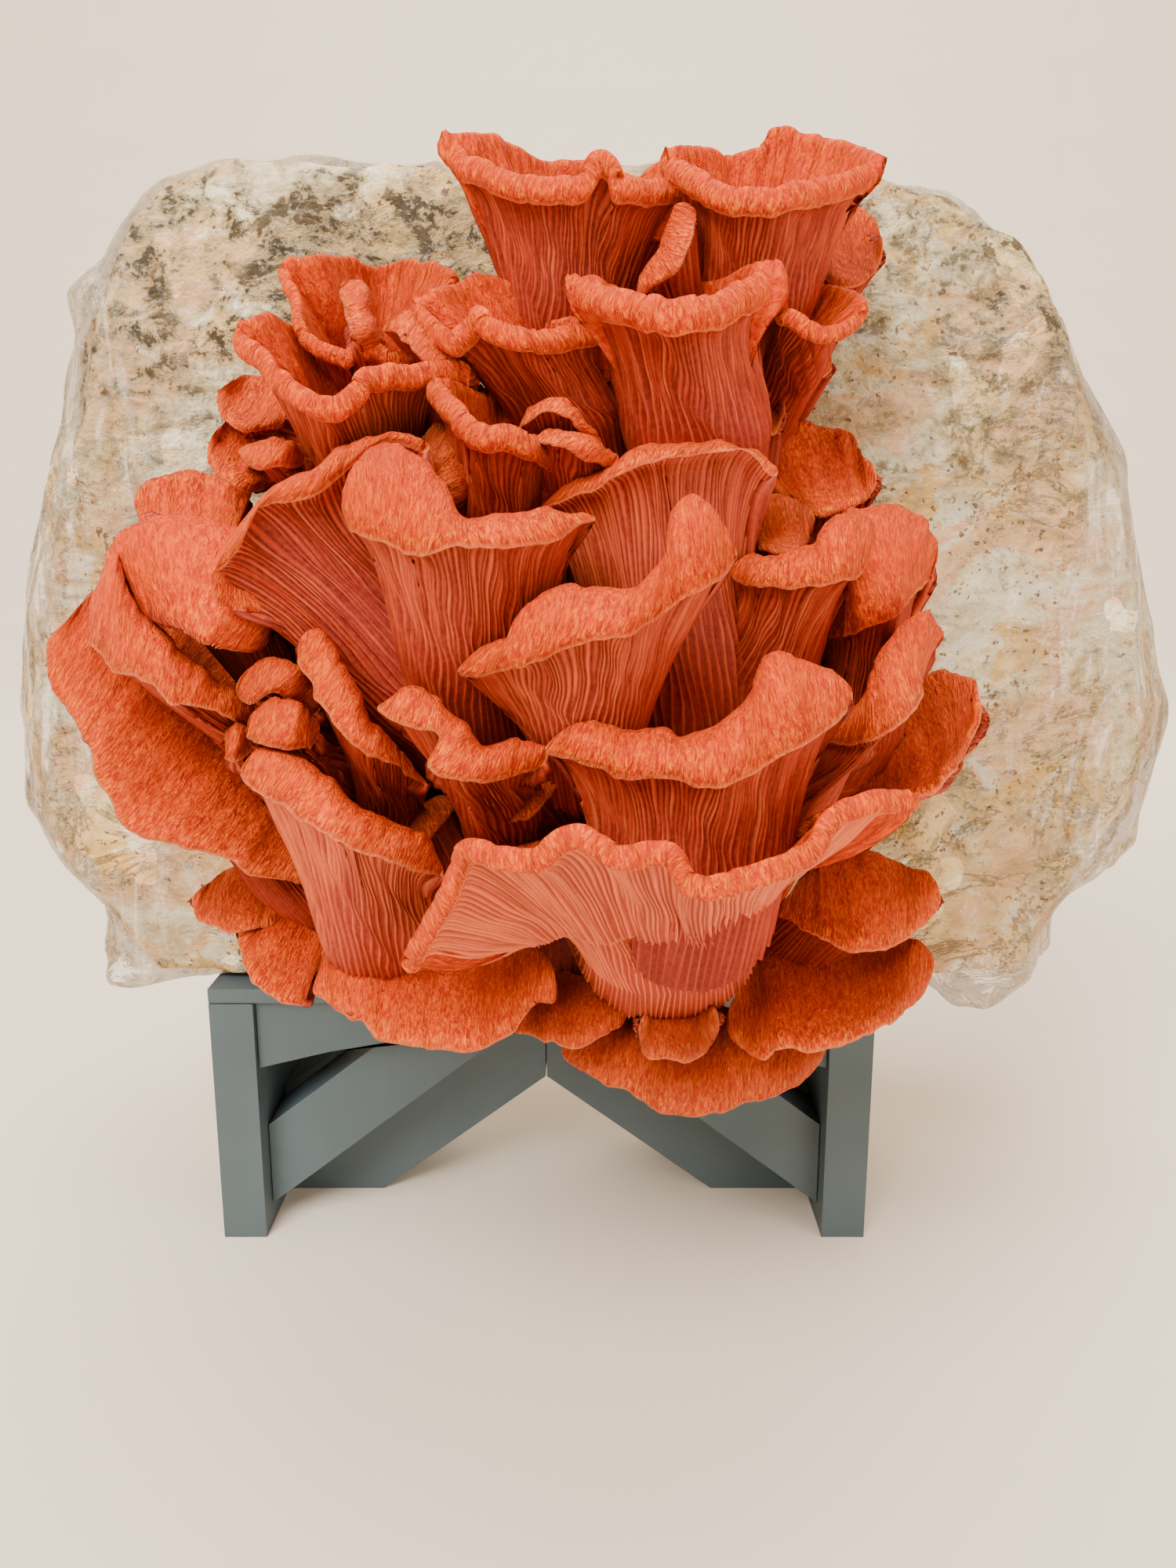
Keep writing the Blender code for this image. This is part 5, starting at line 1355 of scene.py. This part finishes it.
def points_of(mesh):
    """The mesh's points and normals as arrays."""
    points = np.zeros(len(mesh.vertices) * 3, np.float32)
    mesh.vertices.foreach_get("co", points)
    normals = np.zeros(len(mesh.vertices) * 3, np.float32)
    mesh.vertex_normals.foreach_get("vector", normals)
    return points.reshape(-1, 3).astype(float), normals.reshape(-1, 3).astype(float)


def set_points(mesh, points):
    """Move the mesh's points."""
    mesh.vertices.foreach_set("co", np.asarray(points, np.float32).ravel())
    mesh.update()


def cloud_at(points, span, offset=0.0):
    """Smooth noise from -1 to 1 at each point, with lumps about `span` metres across."""
    return np.array([noise.noise(Vector(point) / span + Vector((offset, 0.0, 0.0)))
                     for point in points])


def pulled(points, pulls, crumpled=0.0):
    """The points drawn over by each pull, unevenly where crumpled is above 0."""
    for middle, pull, reach in pulls:
        place = np.array(Vector(middle) * MM + shift_to_frame())
        nearness = np.exp(-((points - place) ** 2).sum(axis=1) / (reach * MM) ** 2)
        if crumpled:
            nearness = nearness * (1.0 + crumpled * cloud_at(points, CRUMPLE_SPAN, CRUMPLE_START))
        points = points + np.outer(nearness, np.array(pull) * MM)
    return points


def make_block(look):
    """The block's lumpy mycelium."""
    made = remeshed("substrate_block", BLOCK_CELL, BLOCK_SMOOTHING)
    made.name = "mycelium_block"
    points, normals = points_of(made.data)
    move = BLOCK_STAND_OFF * np.ones(len(points))
    for number, (span, size) in enumerate(BLOCK_RELIEF):
        move += cloud_at(points, span, RELIEF_STEP * number) * size
    set_points(made.data, pulled(points + normals * move[:, None], BLOCK_PULLS))
    set_look(made.data, look)
    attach(made, "root")
    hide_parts("substrate_block")


def creases(points, span, offset):
    """Noise with sharp ridges, up to 1 along them, at each point."""
    return 1.0 - np.abs(cloud_at(points * CREASE_STRETCH, span, offset)) * CREASE_STEEPNESS


def make_film(look):
    """The bag's thin film over the block, open in front for the cluster."""
    made = remeshed("substrate_block", BLOCK_CELL, BLOCK_SMOOTHING)
    made.name = "bag_film_sheet"
    points, normals = points_of(made.data)
    move = FILM_STAND_OFF * np.ones(len(points))
    for number, (span, size) in enumerate(FILM_RELIEF):
        ridges = creases(points, span, FILM_RELIEF_START + RELIEF_STEP * number)
        move += (np.clip(ridges, CREASE_FLOOR, 1.0) - CREASE_LEVEL) * size
    points = pulled(points + normals * move[:, None], BLOCK_PULLS)
    set_points(made.data, pulled(points, FILM_PULLS, FILM_CRUMPLED))
    open_front(made)
    set_look(made.data, look)
    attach(made, "root")
    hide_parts("bag_film")


def open_front(film):
    """Take the film away where the cluster has grown through it."""
    build = bmesh.new()
    build.from_mesh(film.data)
    shift = shift_to_frame()
    gone = []
    for vert in build.verts:
        across = (vert.co.x - shift.x) / MM - BASE_MIDDLE[0]
        up = vert.co.z / MM - BASE_MIDDLE[2]
        edge = 1.0 + HOLE_RAGGED * noise.noise(vert.co / HOLE_RAG_SPAN)
        inside = (across / HOLE_HALF[0]) ** 2 + (up / HOLE_HALF[1]) ** 2 < edge
        if inside and vert.co.y < HOLE_BACK:
            gone.append(vert)
    bmesh.ops.delete(build, geom=gone, context="VERTS")
    build.to_mesh(film.data)
    build.free()


def make_base(look):
    """The lumpy mass that every stem grows from."""
    build = bmesh.new()
    bmesh.ops.create_icosphere(build, subdivisions=BASE_FACETS, radius=1.0)
    for vert in build.verts:
        lump = sum(noise.noise(vert.co * count) * height for count, height in FOOT_LUMPS)
        vert.co = [BASE_MIDDLE[axis] + FOOT_SHIFT[axis]
                   + vert.co[axis] * (BASE_HALF[axis] * FOOT_SPREAD[axis] + lump)
                   for axis in range(3)]
    mesh = bpy.data.meshes.new("cluster_foot")
    bmesh.ops.scale(build, vec=(MM, MM, MM), verts=build.verts)
    build.to_mesh(mesh)
    build.free()
    mesh.transform(Matrix.Translation(shift_to_frame()))
    smooth_faces(mesh)
    made = add_object("cluster_foot", mesh)
    set_look(mesh, look)
    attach(made, "root")
    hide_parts("cluster_base")


def floor_profile():
    """The floor's radius and height, from where it starts to bend up to its top edge."""
    profile = []
    for step in range(FLOOR_STEPS + 1):
        turn = math.pi / 2 * step / FLOOR_STEPS
        radius = FLOOR_REACH + FLOOR_BEND * math.sin(turn)
        profile.append((radius, FLOOR_BEND * (1 - math.cos(turn))))
    return profile + [(FLOOR_REACH + FLOOR_BEND, FLOOR_TOP)]


def make_floor():
    """A pale floor that rises far off into a backdrop on every side."""
    look = Look("pale_floor")
    look.put("Base Color", linear(238, 224, 204))
    look.put("Roughness", 0.9)
    profile = floor_profile()
    points = []
    for radius, height in profile:
        for step in range(FLOOR_SIDES):
            angle = 2 * math.pi * step / FLOOR_SIDES
            points.append((radius * math.cos(angle), radius * math.sin(angle), height))
    numbers = np.arange(len(points)).reshape(len(profile), FLOOR_SIDES)
    faces = [numbers[0].tolist()]
    for lower, upper in zip(numbers, numbers[1:]):
        faces += [face[::-1] for face in quads(lower, upper, True)]
    mesh = bpy.data.meshes.new("floor")
    mesh.from_pydata(points, [], faces)
    mesh.materials.append(look.material)
    floor = add_object("floor", mesh)


def make_camera():
    """The camera at the drawing's eye."""
    data = bpy.data.cameras.new("camera")
    data.sensor_width = SENSOR
    data.lens = SENSOR * DRAWING_FOCAL / DRAWING_LONG_SIDE
    data.clip_start = 0.01
    camera = add_object("camera", data)
    camera.location = Vector((0.0, -EYE_DISTANCE * MM, EYE_HEIGHT * MM)) + shift_to_frame()
    camera.rotation_euler = (math.pi / 2 - EYE_TILT, 0.0, 0.0)
    bpy.context.scene.camera = camera


def make_lights():
    """Soft studio lamps and a pale surround."""
    for name, (place, target, size, power) in LAMPS.items():
        data = bpy.data.lights.new(name, "AREA")
        data.shape = "DISK"
        data.size = size
        data.energy = power
        lamp = add_object(name, data)
        lamp.location = place
        heading = Vector(target) - Vector(place)
        lamp.rotation_euler = heading.to_track_quat("-Z", "Y").to_euler()
    world = bpy.data.worlds.new("surround")
    bpy.context.scene.world = world
    world.use_nodes = True
    ground = world.node_tree.nodes["Background"]
    ground.inputs["Color"].default_value = (*linear(244, 234, 220), 1.0)
    ground.inputs["Strength"].default_value = SURROUND_STRENGTH


def make_cluster():
    """Every mushroom."""
    looks = [gill_look(), skin_look()]
    for number, (name, mushroom) in enumerate(MUSHROOMS.items()):
        made = make_mushroom(number, name, mushroom, looks)
        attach(made, "root")
        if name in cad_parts:
            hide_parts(name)


def dress_stand():
    """Give the stand's own solids their print."""
    look = print_look()
    for name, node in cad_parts.items():
        if name.startswith("stand_"):
            set_look(node.data, look)


def main():
    """Make every piece, then the stage."""
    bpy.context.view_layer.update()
    make_camera()
    make_cluster()
    make_base(base_look())
    make_block(block_look())
    make_film(film_look())
    dress_stand()
    make_floor()
    make_lights()


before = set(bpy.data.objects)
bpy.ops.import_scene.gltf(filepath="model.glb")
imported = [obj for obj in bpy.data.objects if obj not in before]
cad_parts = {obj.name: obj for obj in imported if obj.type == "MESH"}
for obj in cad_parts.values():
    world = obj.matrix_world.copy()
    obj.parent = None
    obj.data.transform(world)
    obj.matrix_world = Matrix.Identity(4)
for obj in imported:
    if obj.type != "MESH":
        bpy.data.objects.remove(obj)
main()
